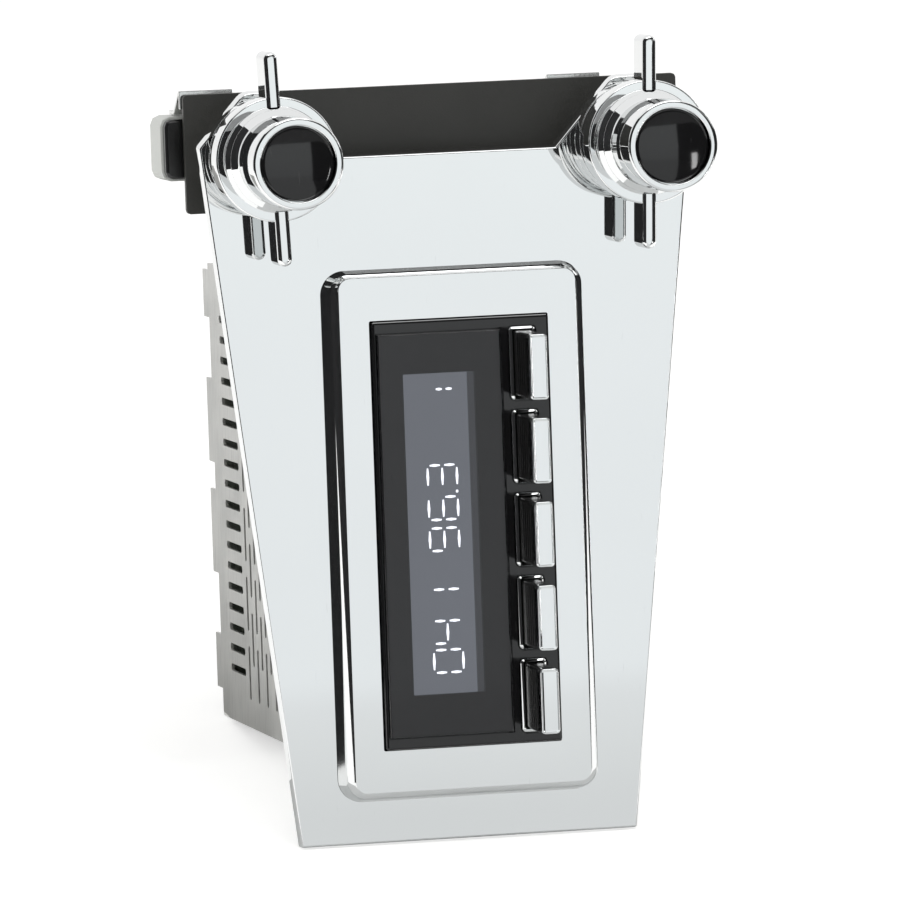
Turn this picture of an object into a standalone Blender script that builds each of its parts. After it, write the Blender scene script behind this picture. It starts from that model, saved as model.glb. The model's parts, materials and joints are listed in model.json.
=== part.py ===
"""Car radio for a car's upright console: a chromed plate with the display in it, an upright perforated
chassis behind it, and a stack of two knobs, one winged and one that also presses, on each of its ears.

Everything is drawn in the plate's own frame: X across the plate, Y into the radio, Z up the plate, with
zero at the middle of the display opening on the plate's front. An empty, stance, then leans it all back
until the plate's lower edge and the chassis's rear edge stand on the floor.
"""

import math

import bmesh
import bpy
from mathutils import Vector

# Air between pieces, and how far a cut runs past the wall it opens
GAP = 0.0003
OVERRUN = 0.001
SAME_PLACE = 0.000005

# How finely round shapes are cut
KNOB_SIDES = 32
SHAFT_SIDES = 16
CORNER_STEPS = 3
SMALL_CORNER_STEPS = 2
NUT_SIDES = 6
SMOOTH_ANGLE = math.radians(35)

# Display opening, the size that the rest of the front follows
OPENING_WIDTH = 0.0453
OPENING_HEIGHT = 0.1065

# Knob axes, measured from the middle of the opening and from its top
KNOB_AXIS_X = 0.0468
KNOB_ABOVE_OPENING = 0.04155

# Faceplate
PLATE_THICKNESS = 0.0032
PLATE_EDGE = 0.0005
PLATE_BELOW_OPENING = 0.02375
PLATE_BOTTOM_HALF_WIDTH = 0.0429
EAR_OUTER_REACH = 0.0156
EAR_OUTER_RISE = 0.0028
EAR_TOP_HALF_WIDTH = 0.0038
EAR_TOP_RISE = 0.0160
EAR_INNER_REACH = 0.0190
EAR_INNER_DROP = 0.0009
PLATE_CORNER_RADIUS = 0.0015
EAR_TOP_RADIUS = 0.0040
PLATE_FOOT_RADIUS = 0.0006

# Bezel round the opening
BEZEL_SIDE_WIDTH = 0.01045
BEZEL_TOP_WIDTH = 0.01225
BEZEL_BOTTOM_WIDTH = 0.01300
BEZEL_HEIGHT = 0.0068
BEZEL_SHOULDER_RADIUS = 0.0033
BEZEL_FLANK_ANGLE = math.radians(13.5)
BEZEL_CREASE_ANGLE = math.radians(70)
BEZEL_TOP_SLOPE_SHARE = 0.5
BEZEL_BOTTOM_SLOPE_SHARE = 0.88
BEZEL_CORNER_RADIUS = 0.0060
BEZEL_FACE_CORNER_RADIUS = 0.0030
BEZEL_SHOULDER_STEPS = 4

# Nose: the black moulding that stands through the opening
NOSE_PROUD = 0.0020
NOSE_EDGE = 0.0006
NOSE_FRONT_WALL = 0.0030
NOSE_SIDE_WALL = 0.0020
NOSE_FLANGE_REACH = 0.0025
NOSE_FLANGE_THICKNESS = 0.0020
NOSE_CORNER_RADIUS = 0.0005

# Display lens and the liquid crystal panel behind it
LENS_SIDE_MARGIN = 0.00095
LENS_END_MARGIN = 0.0030
LENS_PROUD = 0.0008
LENS_THICKNESS = 0.0020
LENS_EDGE = 0.0003
WINDOW_SIDE_MARGIN = 0.0066
WINDOW_END_MARGIN = 0.0102
PANEL_OVERLAP = 0.0020

# Push buttons, from the bottom of the column to its top
BUTTON_COUNT = 5
BUTTON_END_MARGIN = 0.0014
BUTTON_SPACE = 0.0022
RING_WIDTH = 0.0069
RING_SIDE_MARGIN = 0.0034
RING_LENS_SPACE = 0.00205
RING_THICKNESS = 0.0012
RING_PROUD = 0.0005
RING_WALL = 0.00085
RING_CORNER_RADIUS = 0.0012
RING_EDGE = 0.00025
CAP_REACH = 0.0167
CAP_DEPTH = 0.0030
CAP_EDGE = 0.0006
STEM_CORNER_RADIUS = 0.0007
STEM_FLANGE_REACH = 0.0008
STEM_FLANGE_THICKNESS = 0.0012
BUTTON_TRAVEL = 0.0020
SWITCH_HEIGHT = 0.0008
SWITCH_SIZE = 0.0035

# Display board in the nose, and the plug that joins it to the main board
BOARD_THICKNESS = 0.0016
HEADER_WIDTH = 0.0060
HEADER_HEIGHT = 0.0300

# Chassis: a folded steel frame between two perforated covers
CHASSIS_SIDE_MARGIN = 0.00685
CHASSIS_END_MARGIN = 0.00605
CHASSIS_DEPTH = 0.1485
SHEET = 0.0010
COVER_SHEET = 0.0008
FRONT_LIP = 0.0080
LIP_CORNER_RADIUS = 0.0016
LIP_SCREW_RADIUS = 0.0016
LIP_SCREW_SPACING = 0.0400

# Cooling holes in the covers, counted from the rear edge
VENT_LENGTH = 0.0180
VENT_WIDTH = 0.0019
VENT_PITCH = 0.00534
VENT_COUNT = 18
VENT_REAR_MARGIN = 0.0120
SLOT_LENGTH = 0.0140
SLOT_WIDTH = 0.0019
SLOT_SPACE = 0.0040
SLOT_COLUMN_PITCH = 0.00525
SLOT_COLUMNS = 10
SLOTS_IN_LONG_COLUMN = 6
SLOT_VENT_SPACE = 0.0050

# Tabs along the covers' rear edge, as shares of the chassis's half height
TAB_LENGTH = 0.0065
TAB_SPAN_SHARES = ((-0.88, -0.64), (-0.37, 0.0), (0.12, 0.49), (0.76, 0.97))

# Rear wall: heat sink and sockets
SINK_SIDE_MARGIN = 0.0055
SINK_BASE = 0.0020
SINK_FIN_HEIGHT = 0.0042
SINK_FIN_THICKNESS = 0.0016
SINK_FIN_COUNT = 8
SINK_TOP_MARGIN = 0.0030
SOCKET_WIDTH = 0.0120
SOCKET_HEIGHT = 0.0280
SOCKET_DEPTH = 0.0150
SOCKET_WALL = 0.0015
SOCKET_CAVITY_DEPTH = 0.0100
SOCKET_FLANGE_REACH = 0.0020
SOCKET_FLANGE_THICKNESS = 0.0014
SOCKET_PROUD = 0.0040
SOCKET_BELOW_SINK = 0.0045
SOCKET_ABOVE_EDGE = 0.0051
SOCKET_FROM_SIDE = 0.0210
AERIAL_FROM_SIDE = 0.0155
AERIAL_RADIUS = 0.0056
AERIAL_BORE_RADIUS = 0.0040
AERIAL_FLANGE_RADIUS = 0.0078
AERIAL_BORE_DEPTH = 0.0120

# Main board, upright in the chassis, with its parts on one side
MAIN_BOARD_SIDE_SPACE = 0.00035
MAIN_BOARD_FRONT_SPACE = 0.0100
MAIN_BOARD_REAR_SPACE = 0.0040
PART_SINK = 0.0005
PART_SHARES = (
    (0.18, 0.55, 0.16, 0.20, 0.10),
    (0.20, 0.05, 0.10, 0.08, 0.35),
    (0.45, -0.15, 0.22, 0.22, 0.08),
    (0.50, 0.50, 0.07, 0.06, 0.40),
    (0.62, 0.50, 0.07, 0.06, 0.40),
    (0.84, 0.45, 0.10, 0.34, 0.22),
    (0.30, -0.60, 0.14, 0.10, 0.30),
)
TUNER_DEPTH = 0.0420
TUNER_HEIGHT = 0.0260
TUNER_WIDTH = 0.0130
TUNER_REAR_SPACE = 0.0180
TUNER_Z = -0.0300

# Black plate that carries the controls behind the ears
SUPPORT_SPACE = 0.01145
SUPPORT_THICKNESS = 0.0018
SUPPORT_SIDE_REACH = 0.0160
SUPPORT_TOP_REACH = 0.0151
SUPPORT_BOTTOM_REACH = 0.0144
SUPPORT_CORNER_RADIUS = 0.0010

# Control behind each stack, measured from the knob axis
HOUSING_LEFT = 0.0201
HOUSING_RIGHT = 0.0156
HOUSING_CENTRE_Z = 0.0016
HOUSING_HALF_HEIGHT = 0.0074
HOUSING_DEPTH = 0.0030
HOUSING_EDGE = 0.0006
HOUSING_CORNER_RADIUS = 0.0018
CAN_OVERSIZE = 0.0006
CAN_DEPTH = 0.0122
CAN_CORNER_RADIUS = 0.0024
CONTROL_BOARD_INSET = 0.0006
BRACKET_THICKNESS = 0.0010
BRACKET_LEFT = 0.0165
BRACKET_RIGHT = 0.0030
BRACKET_ABOVE_PLATE = 0.0009
BRACKET_LEG = 0.0045
BRACKET_RUN = 0.0080
BRACKET_FOOT = 0.0050

# Shafts and what holds them
INNER_SHAFT_RADIUS = 0.0020
OUTER_SHAFT_RADIUS = 0.0031
BUSH_WALL = 0.0015
BUSH_FLANGE_RADIUS = 0.0080
BUSH_FLANGE_THICKNESS = 0.0010
SPACER_WALL = 0.0025
NUT_FLATS = 0.0140
NUT_THICKNESS = 0.0026
BUSH_BEYOND_NUT = 0.0006
PRESS_TRAVEL = 0.0012
PLUNGER_LENGTH = 0.0020
SHAFT_IN_CONTROL = 0.0030

# Collar: the chromed drum on the plate
COLLAR_RADIUS = 0.0140
COLLAR_LENGTH = 0.0117
COLLAR_EDGE = 0.0008
COLLAR_GROOVE_DEPTH = 0.0006
COLLAR_GROOVE_WIDTH = 0.0012
COLLAR_FOOT = 0.0042

# Rear knob, with two wings
REAR_KNOB_RADIUS = 0.0153
REAR_KNOB_LENGTH = 0.0070
REAR_KNOB_BACK_BEVEL = 0.0013
REAR_KNOB_FRONT_BEVEL = 0.0013
REAR_KNOB_STEP = 0.0010
REAR_KNOB_FACE_RADIUS = 0.0130
WING_REACH = 0.0263
WING_WIDTH = 0.0036
WING_BACK_OVERHANG = 0.0018
WING_FRONT_OVERHANG = 0.0007
WING_EDGE = 0.0007
WING_ROOT = 0.0025

# Front knob, whose length is from its flange to its rim
FRONT_KNOB_SPACE = 0.0020
FLANGE_RADIUS = 0.0124
FLANGE_THICKNESS = 0.0018
FLANGE_BEVEL = 0.0004
FRONT_KNOB_LENGTH = 0.0210
KNOB_WAIST_RADIUS = 0.0108
KNOB_STEP_RADIUS = 0.0119
KNOB_NECK_LENGTH = 0.0065
RIM_RADIUS = 0.01128
RIM_LENGTH = 0.0028
RIM_BEVEL = 0.0005
RIM_INNER_RADIUS = 0.00935
INLAY_THICKNESS = 0.0014
INLAY_DOME = 0.0007
INLAY_BELOW_RIM = 0.0007
INLAY_STEPS = 3
SHAFT_BELOW_INLAY = 0.0040

# Places across and up the plate that follow from the opening
KNOB_AXIS_Z = OPENING_HEIGHT / 2 + KNOB_ABOVE_OPENING
PLATE_BOTTOM = OPENING_HEIGHT / 2 + PLATE_BELOW_OPENING
CHASSIS_HALF_WIDTH = OPENING_WIDTH / 2 + CHASSIS_SIDE_MARGIN
CHASSIS_HALF_HEIGHT = OPENING_HEIGHT / 2 + CHASSIS_END_MARGIN

# Places along the depth that follow from the sizes above
PLATE_BACK = PLATE_THICKNESS
BEZEL_FACE = -BEZEL_HEIGHT
NOSE_FACE = BEZEL_FACE - NOSE_PROUD
NOSE_INSIDE = NOSE_FACE + NOSE_FRONT_WALL
LENS_FACE = NOSE_FACE - LENS_PROUD
RING_FACE = NOSE_FACE - RING_PROUD
CAP_FACE = NOSE_FACE - CAP_REACH
FRAME_FRONT = PLATE_BACK + GAP
FRAME_REAR = FRAME_FRONT + CHASSIS_DEPTH
NOSE_FLANGE_FRONT = FRAME_FRONT + SHEET + GAP
NOSE_BACK = NOSE_FLANGE_FRONT + NOSE_FLANGE_THICKNESS
SUPPORT_FRONT = PLATE_BACK + SUPPORT_SPACE
SUPPORT_BACK = SUPPORT_FRONT + SUPPORT_THICKNESS
HOUSING_FRONT = SUPPORT_BACK + BUSH_FLANGE_THICKNESS + 2 * GAP
CAN_FRONT = HOUSING_FRONT + HOUSING_DEPTH + GAP
CAN_BACK = CAN_FRONT + CAN_DEPTH
NUT_FRONT = -(GAP + NUT_THICKNESS)
BUSH_FRONT = NUT_FRONT - BUSH_BEYOND_NUT
COLLAR_BACK = -GAP
COLLAR_FRONT = COLLAR_BACK - COLLAR_LENGTH
REAR_KNOB_BACK = COLLAR_FRONT - GAP
REAR_KNOB_FRONT = REAR_KNOB_BACK - REAR_KNOB_LENGTH
REAR_KNOB_FACE = REAR_KNOB_FRONT - REAR_KNOB_STEP
FLANGE_BACK = REAR_KNOB_FACE - FRONT_KNOB_SPACE
RIM_FACE = FLANGE_BACK - FRONT_KNOB_LENGTH
INLAY_BACK = RIM_FACE + INLAY_BELOW_RIM + INLAY_DOME + INLAY_THICKNESS
SHAFT_TIP = INLAY_BACK + GAP + SHAFT_BELOW_INLAY
SHAFT_END = HOUSING_FRONT + SHAFT_IN_CONTROL

# Other sizes that follow from them
NOSE_WIDTH = OPENING_WIDTH - 2 * GAP
NOSE_HEIGHT = OPENING_HEIGHT - 2 * GAP
LENS_HEIGHT = NOSE_HEIGHT - 2 * LENS_END_MARGIN
RING_X = NOSE_WIDTH / 2 - RING_SIDE_MARGIN - RING_WIDTH / 2
LENS_LEFT = LENS_SIDE_MARGIN - NOSE_WIDTH / 2
LENS_RIGHT = RING_X - RING_WIDTH / 2 - RING_LENS_SPACE
LENS_X = (LENS_LEFT + LENS_RIGHT) / 2
LENS_WIDTH = LENS_RIGHT - LENS_LEFT
WINDOW_WIDTH = LENS_WIDTH - 2 * WINDOW_SIDE_MARGIN
WINDOW_HEIGHT = LENS_HEIGHT - 2 * WINDOW_END_MARGIN
BUTTON_PITCH = (NOSE_HEIGHT - 2 * BUTTON_END_MARGIN) / BUTTON_COUNT
RING_HEIGHT = BUTTON_PITCH - BUTTON_SPACE
STEM_WIDTH = RING_WIDTH - 2 * (RING_WALL + GAP)
STEM_HEIGHT = RING_HEIGHT - 2 * (RING_WALL + GAP)
STEM_BACK = NOSE_INSIDE + GAP + STEM_FLANGE_THICKNESS
SWITCH_FACE = STEM_BACK + BUTTON_TRAVEL + GAP
DISPLAY_BOARD_FRONT = SWITCH_FACE + SWITCH_HEIGHT
DISPLAY_BOARD_BACK = DISPLAY_BOARD_FRONT + BOARD_THICKNESS
FRAME_HALF_WIDTH = CHASSIS_HALF_WIDTH - COVER_SHEET - GAP
CAVITY_WIDTH = NOSE_WIDTH - 2 * NOSE_SIDE_WALL
CAVITY_HEIGHT = NOSE_HEIGHT - 2 * NOSE_SIDE_WALL
MAIN_BOARD_X = MAIN_BOARD_SIDE_SPACE - CAVITY_WIDTH / 2
BUSH_BORE_RADIUS = OUTER_SHAFT_RADIUS + GAP
BUSH_RADIUS = BUSH_BORE_RADIUS + BUSH_WALL
HOLE_RADIUS = BUSH_RADIUS + GAP
OUTER_SHAFT_BORE = INNER_SHAFT_RADIUS + GAP
SUPPORT_HALF_WIDTH = KNOB_AXIS_X + SUPPORT_SIDE_REACH
CAN_HALF_HEIGHT = HOUSING_HALF_HEIGHT + CAN_OVERSIZE
SOCKET_X = SOCKET_FROM_SIDE - CHASSIS_HALF_WIDTH
AERIAL_X = CHASSIS_HALF_WIDTH - AERIAL_FROM_SIDE
SOCKET_Z = SOCKET_ABOVE_EDGE + SOCKET_HEIGHT / 2 - CHASSIS_HALF_HEIGHT
SINK_BOTTOM = SOCKET_Z + SOCKET_HEIGHT / 2 + SOCKET_BELOW_SINK
SINK_HEIGHT = CHASSIS_HALF_HEIGHT - SINK_TOP_MARGIN - SINK_BOTTOM
SINK_HALF_WIDTH = CHASSIS_HALF_WIDTH - SINK_SIDE_MARGIN
LEAN = math.atan2(PLATE_BOTTOM - CHASSIS_HALF_HEIGHT, FRAME_REAR - PLATE_BACK)

for old in list(bpy.data.objects):
    bpy.data.objects.remove(old, do_unlink=True)

stance = bpy.data.objects.new("stance", None)
bpy.context.scene.collection.objects.link(stance)
stance.rotation_euler.x = -LEAN


def finish(name, colour, roughness, metallic):
    """A material in the colour, gloss and metal of one finish of the radio."""
    material = bpy.data.materials.new(name)
    material.use_nodes = True
    shader = material.node_tree.nodes["Principled BSDF"]
    shader.inputs["Base Color"].default_value = (*colour, 1)
    shader.inputs["Roughness"].default_value = roughness
    shader.inputs["Metallic"].default_value = metallic
    material.diffuse_color = (*colour, 1)
    return material


CHROME = finish("chrome", (0.80, 0.81, 0.82), 0.06, 1)
GLOSS_BLACK = finish("gloss_black", (0.012, 0.012, 0.013), 0.12, 0)
SMOKED_LENS = finish("smoked_lens", (0.02, 0.02, 0.022), 0.05, 0)
DISPLAY_GREY = finish("display_grey", (0.14, 0.15, 0.17), 0.25, 0)
MATTE_BLACK = finish("matte_black", (0.02, 0.02, 0.02), 0.5, 0)
SHEET_STEEL = finish("sheet_steel", (0.55, 0.55, 0.54), 0.4, 1)
BRIGHT_STEEL = finish("bright_steel", (0.68, 0.68, 0.67), 0.25, 1)
ALUMINIUM = finish("aluminium", (0.55, 0.56, 0.57), 0.4, 1)
GREY_CAN = finish("grey_can", (0.60, 0.61, 0.59), 0.45, 0)
BOARD_GREEN = finish("board_green", (0.03, 0.22, 0.10), 0.4, 0)


def place(name, mesh, material, at=(0, 0, 0), parent=stance):
    """Makes a mesh under construction an object, with its origin where it turns or slides."""
    data = bpy.data.meshes.new(name)
    mesh.to_mesh(data)
    mesh.free()
    data.materials.append(material)
    data.shade_smooth()
    data.set_sharp_from_angle(angle=SMOOTH_ANGLE)
    piece = bpy.data.objects.new(name, data)
    bpy.context.scene.collection.objects.link(piece)
    piece.parent = parent
    piece.location = at
    return piece


def combine(piece, name, mesh, operation="DIFFERENCE", at=None):
    """Cuts a shape out of a piece, or joins it on. The helper stays hidden beside the piece."""
    helper = place(name, mesh, MATTE_BLACK, piece.location if at is None else at)
    helper.hide_render = True
    helper.display_type = "WIRE"
    step = piece.modifiers.new(name, "BOOLEAN")
    step.operation = operation
    step.solver = "EXACT"
    step.object = helper


def rounded(corners, steps=CORNER_STEPS):
    """A polygon in X and Z whose corners, each an x, a z and a radius, are turned into arcs."""
    points = []
    for index, (x, z, radius) in enumerate(corners):
        corner = Vector((x, z))
        if radius == 0:
            points.append(corner)
            continue
        before = (Vector(corners[index - 1][:2]) - corner).normalized()
        after = (Vector(corners[(index + 1) % len(corners)][:2]) - corner).normalized()
        half = before.angle(after) / 2
        centre = corner + (before + after).normalized() * (radius / math.sin(half))
        reach = radius / math.tan(half)
        first = corner + before * reach - centre
        last = corner + after * reach - centre
        start = math.atan2(first.y, first.x)
        sweep = (math.atan2(last.y, last.x) - start + math.pi) % math.tau - math.pi
        for step in range(steps + 1):
            angle = start + sweep * step / steps
            points.append(centre + Vector((math.cos(angle), math.sin(angle))) * radius)
    return points


def rectangle(width, height, radius=0, x=0, z=0, steps=SMALL_CORNER_STEPS):
    """A rectangle about a middle point, with round corners where a radius is given."""
    corners = ((-1, -1), (1, -1), (1, 1), (-1, 1))
    return rounded([(x + side * width / 2, z + end * height / 2, radius) for side, end in corners], steps)


def slab(outline, front, back, mesh=None):
    """An outline in X and Z, extruded from one depth to another."""
    mesh = mesh or bmesh.new()
    face = mesh.faces.new([mesh.verts.new((x, front, z)) for x, z in outline])
    made = bmesh.ops.extrude_face_region(mesh, geom=[face])["geom"]
    moved = [part for part in made if isinstance(part, bmesh.types.BMVert)]
    bmesh.ops.translate(mesh, vec=(0, back - front, 0), verts=moved)
    bmesh.ops.recalc_face_normals(mesh, faces=mesh.faces)
    return mesh


def crosswise(outline, left, right, mesh=None):
    """An outline in depth and height, extruded across the radio from one side to the other."""
    mesh = mesh or bmesh.new()
    face = mesh.faces.new([mesh.verts.new((left, y, z)) for y, z in outline])
    made = bmesh.ops.extrude_face_region(mesh, geom=[face])["geom"]
    moved = [part for part in made if isinstance(part, bmesh.types.BMVert)]
    bmesh.ops.translate(mesh, vec=(right - left, 0, 0), verts=moved)
    bmesh.ops.recalc_face_normals(mesh, faces=mesh.faces)
    return mesh


def soften(mesh, depth, width, steps=2):
    """Rounds over every edge that lies at one depth."""
    edges = [edge for edge in mesh.edges if all(abs(end.co.y - depth) < SAME_PLACE for end in edge.verts)]
    bmesh.ops.bevel(mesh, geom=edges, offset=width, segments=steps, profile=0.5, affect="EDGES")
    return mesh


def loft(rings):
    """A closed skin through rings of equally many points, capped at both ends."""
    mesh = bmesh.new()
    loops = [[mesh.verts.new(point) for point in ring] for ring in rings]
    edges = [[mesh.edges.new((loop[i - 1], loop[i])) for i in range(len(loop))] for loop in loops]
    for low, high in zip(edges, edges[1:]):
        bmesh.ops.bridge_loops(mesh, edges=low + high)
    mesh.faces.new(loops[0])
    mesh.faces.new(loops[-1])
    bmesh.ops.recalc_face_normals(mesh, faces=mesh.faces)
    return mesh


def turned(section, sides):
    """A section of radii and depths, spun about the knob's axis. One that starts off it is a closed ring."""
    mesh = bmesh.new()
    points = [mesh.verts.new((radius, depth, 0)) for radius, depth in section]
    edges = [mesh.edges.new(pair) for pair in zip(points, points[1:])]
    if section[0][0] > 0:
        edges.append(mesh.edges.new((points[-1], points[0])))
    geometry = points + edges
    bmesh.ops.spin(mesh, geom=geometry, axis=(0, 1, 0), angle=math.tau, steps=sides, use_merge=True)
    bmesh.ops.remove_doubles(mesh, verts=mesh.verts, dist=SAME_PLACE)
    bmesh.ops.recalc_face_normals(mesh, faces=mesh.faces)
    return mesh


def tube(inner, outer, front, back, sides=SHAFT_SIDES):
    """A plain round tube along the knob's axis."""
    return turned([(inner, front), (outer, front), (outer, back), (inner, back)], sides)


def disc(radius, front, back, sides=SHAFT_SIDES):
    """A plain round rod along the knob's axis."""
    return turned([(0, front), (radius, front), (radius, back), (0, back)], sides)


def opening(front, back):
    """The display opening as a block that cuts it."""
    return slab(rectangle(OPENING_WIDTH, OPENING_HEIGHT), front - OVERRUN, back + OVERRUN)


def button_heights():
    return [(index - (BUTTON_COUNT - 1) / 2) * BUTTON_PITCH for index in range(BUTTON_COUNT)]


# Faceplate: a tapering plate with a sloping ear under each knob stack
ear_corner = (KNOB_AXIS_X + EAR_OUTER_REACH, KNOB_AXIS_Z + EAR_OUTER_RISE, PLATE_CORNER_RADIUS)
ear_top_outer = (KNOB_AXIS_X + EAR_TOP_HALF_WIDTH, KNOB_AXIS_Z + EAR_TOP_RISE, EAR_TOP_RADIUS)
ear_top_inner = (KNOB_AXIS_X - EAR_TOP_HALF_WIDTH, KNOB_AXIS_Z + EAR_TOP_RISE, EAR_TOP_RADIUS)
ear_foot = (KNOB_AXIS_X - EAR_INNER_REACH, KNOB_AXIS_Z - EAR_INNER_DROP, 0)
plate_foot = (PLATE_BOTTOM_HALF_WIDTH, -PLATE_BOTTOM, PLATE_FOOT_RADIUS)
right_side = [plate_foot, ear_corner, ear_top_outer, ear_top_inner, ear_foot]
left_side = [(-x, z, radius) for x, z, radius in reversed(right_side)]
plate = slab(rounded(right_side + left_side), 0, PLATE_BACK)
faceplate = place("faceplate", soften(plate, 0, PLATE_EDGE), CHROME)
combine(faceplate, "cut_plate_opening", opening(0, PLATE_BACK))

# Bezel: a raised frame on the plate, with a sloping flank, a rolled shoulder and a crease round its face
bezel_width = OPENING_WIDTH + 2 * BEZEL_SIDE_WIDTH
bezel_top = OPENING_HEIGHT / 2 + BEZEL_TOP_WIDTH
bezel_bottom = -OPENING_HEIGHT / 2 - BEZEL_BOTTOM_WIDTH
shoulder_rise = BEZEL_SHOULDER_RADIUS * (math.sin(BEZEL_CREASE_ANGLE) - math.sin(BEZEL_FLANK_ANGLE))
flank_inset = (BEZEL_HEIGHT - GAP - shoulder_rise) * math.tan(BEZEL_FLANK_ANGLE)
bezel_rings = [(0, -GAP)]
for step in range(BEZEL_SHOULDER_STEPS + 1):
    angle = BEZEL_FLANK_ANGLE + (BEZEL_CREASE_ANGLE - BEZEL_FLANK_ANGLE) * step / BEZEL_SHOULDER_STEPS
    inset = flank_inset + BEZEL_SHOULDER_RADIUS * (math.cos(BEZEL_FLANK_ANGLE) - math.cos(angle))
    below_face = BEZEL_SHOULDER_RADIUS * (math.sin(BEZEL_CREASE_ANGLE) - math.sin(angle))
    bezel_rings.append((inset, BEZEL_FACE + below_face))
bezel_inset = bezel_rings[-1][0]
bezel_lofted = []
for inset, depth in bezel_rings:
    narrowing = inset / bezel_inset
    radius = BEZEL_CORNER_RADIUS + (BEZEL_FACE_CORNER_RADIUS - BEZEL_CORNER_RADIUS) * narrowing
    top = bezel_top - inset * BEZEL_TOP_SLOPE_SHARE
    bottom = bezel_bottom + inset * BEZEL_BOTTOM_SLOPE_SHARE
    ring = rectangle(bezel_width - 2 * inset, top - bottom, radius, 0, (top + bottom) / 2, CORNER_STEPS)
    bezel_lofted.append([(x, depth, z) for x, z in ring])
bezel = place("bezel", loft(bezel_lofted), CHROME)
combine(bezel, "cut_bezel_opening", opening(BEZEL_FACE, -GAP))

# Nose: a hollow moulding, open at the back, held behind the frame's front wall by its flange
nose_outline = rectangle(NOSE_WIDTH, NOSE_HEIGHT, NOSE_CORNER_RADIUS)
nose_body = slab(nose_outline, NOSE_FACE, NOSE_BACK - NOSE_FLANGE_THICKNESS / 2)
nose = place("nose", soften(nose_body, NOSE_FACE, NOSE_EDGE), GLOSS_BLACK)
flange_width = NOSE_WIDTH + 2 * NOSE_FLANGE_REACH
flange_height = NOSE_HEIGHT + 2 * NOSE_FLANGE_REACH
nose_flange = slab(rectangle(flange_width, flange_height), NOSE_FLANGE_FRONT, NOSE_BACK)
combine(nose, "add_nose_flange", nose_flange, "UNION")
cavity = slab(rectangle(CAVITY_WIDTH, CAVITY_HEIGHT), NOSE_INSIDE, NOSE_BACK + OVERRUN)
combine(nose, "cut_nose_cavity", cavity)
lens_seat = rectangle(LENS_WIDTH + 2 * GAP, LENS_HEIGHT + 2 * GAP, 0, LENS_X)
lens_seat_floor = LENS_FACE + LENS_THICKNESS + GAP
combine(nose, "cut_lens_seat", slab(lens_seat, NOSE_FACE - OVERRUN, lens_seat_floor))
window = rectangle(WINDOW_WIDTH, WINDOW_HEIGHT, 0, LENS_X)
combine(nose, "cut_display_window", slab(window, lens_seat_floor - OVERRUN, NOSE_INSIDE + OVERRUN))
ring_seats = bmesh.new()
stem_slots = bmesh.new()
for height in button_heights():
    seat = rectangle(RING_WIDTH + 2 * GAP, RING_HEIGHT + 2 * GAP, RING_CORNER_RADIUS + GAP, RING_X, height)
    slab(seat, NOSE_FACE - OVERRUN, RING_FACE + RING_THICKNESS + GAP, ring_seats)
    slot = rectangle(STEM_WIDTH + 2 * GAP, STEM_HEIGHT + 2 * GAP, STEM_CORNER_RADIUS + GAP, RING_X, height)
    slab(slot, NOSE_FACE - OVERRUN, NOSE_INSIDE + OVERRUN, stem_slots)
combine(nose, "cut_ring_seats", ring_seats)
combine(nose, "cut_stem_slots", stem_slots)

# Display: the lens in its seat, the panel behind its window, and the board that carries the switches
lens = slab(rectangle(LENS_WIDTH, LENS_HEIGHT, 0, LENS_X), LENS_FACE, LENS_FACE + LENS_THICKNESS)
place("display_lens", soften(lens, LENS_FACE, LENS_EDGE, 1), SMOKED_LENS)
panel_width = WINDOW_WIDTH + 2 * PANEL_OVERLAP
panel_height = WINDOW_HEIGHT + 2 * PANEL_OVERLAP
panel_outline = rectangle(panel_width, panel_height, 0, LENS_X)
place("display_panel", slab(panel_outline, NOSE_INSIDE + GAP, DISPLAY_BOARD_FRONT - GAP), DISPLAY_GREY)
board_outline = rectangle(CAVITY_WIDTH - 2 * GAP, CAVITY_HEIGHT - 2 * GAP)
board = slab(board_outline, DISPLAY_BOARD_FRONT, DISPLAY_BOARD_BACK)
display_board = place("display_board", board, BOARD_GREEN)
switches = bmesh.new()
for height in button_heights():
    switch = rectangle(SWITCH_SIZE, SWITCH_SIZE, 0, RING_X, height)
    slab(switch, SWITCH_FACE, DISPLAY_BOARD_FRONT + PART_SINK, switches)
combine(display_board, "add_switches", switches, "UNION")
main_board_front = FRAME_FRONT + SHEET + MAIN_BOARD_FRONT_SPACE
header_outline = rectangle(HEADER_WIDTH, HEADER_HEIGHT, 0, MAIN_BOARD_X + HEADER_WIDTH / 2)
header = slab(header_outline, DISPLAY_BOARD_BACK - PART_SINK, main_board_front - GAP)
combine(display_board, "add_header", header, "UNION")

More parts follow.
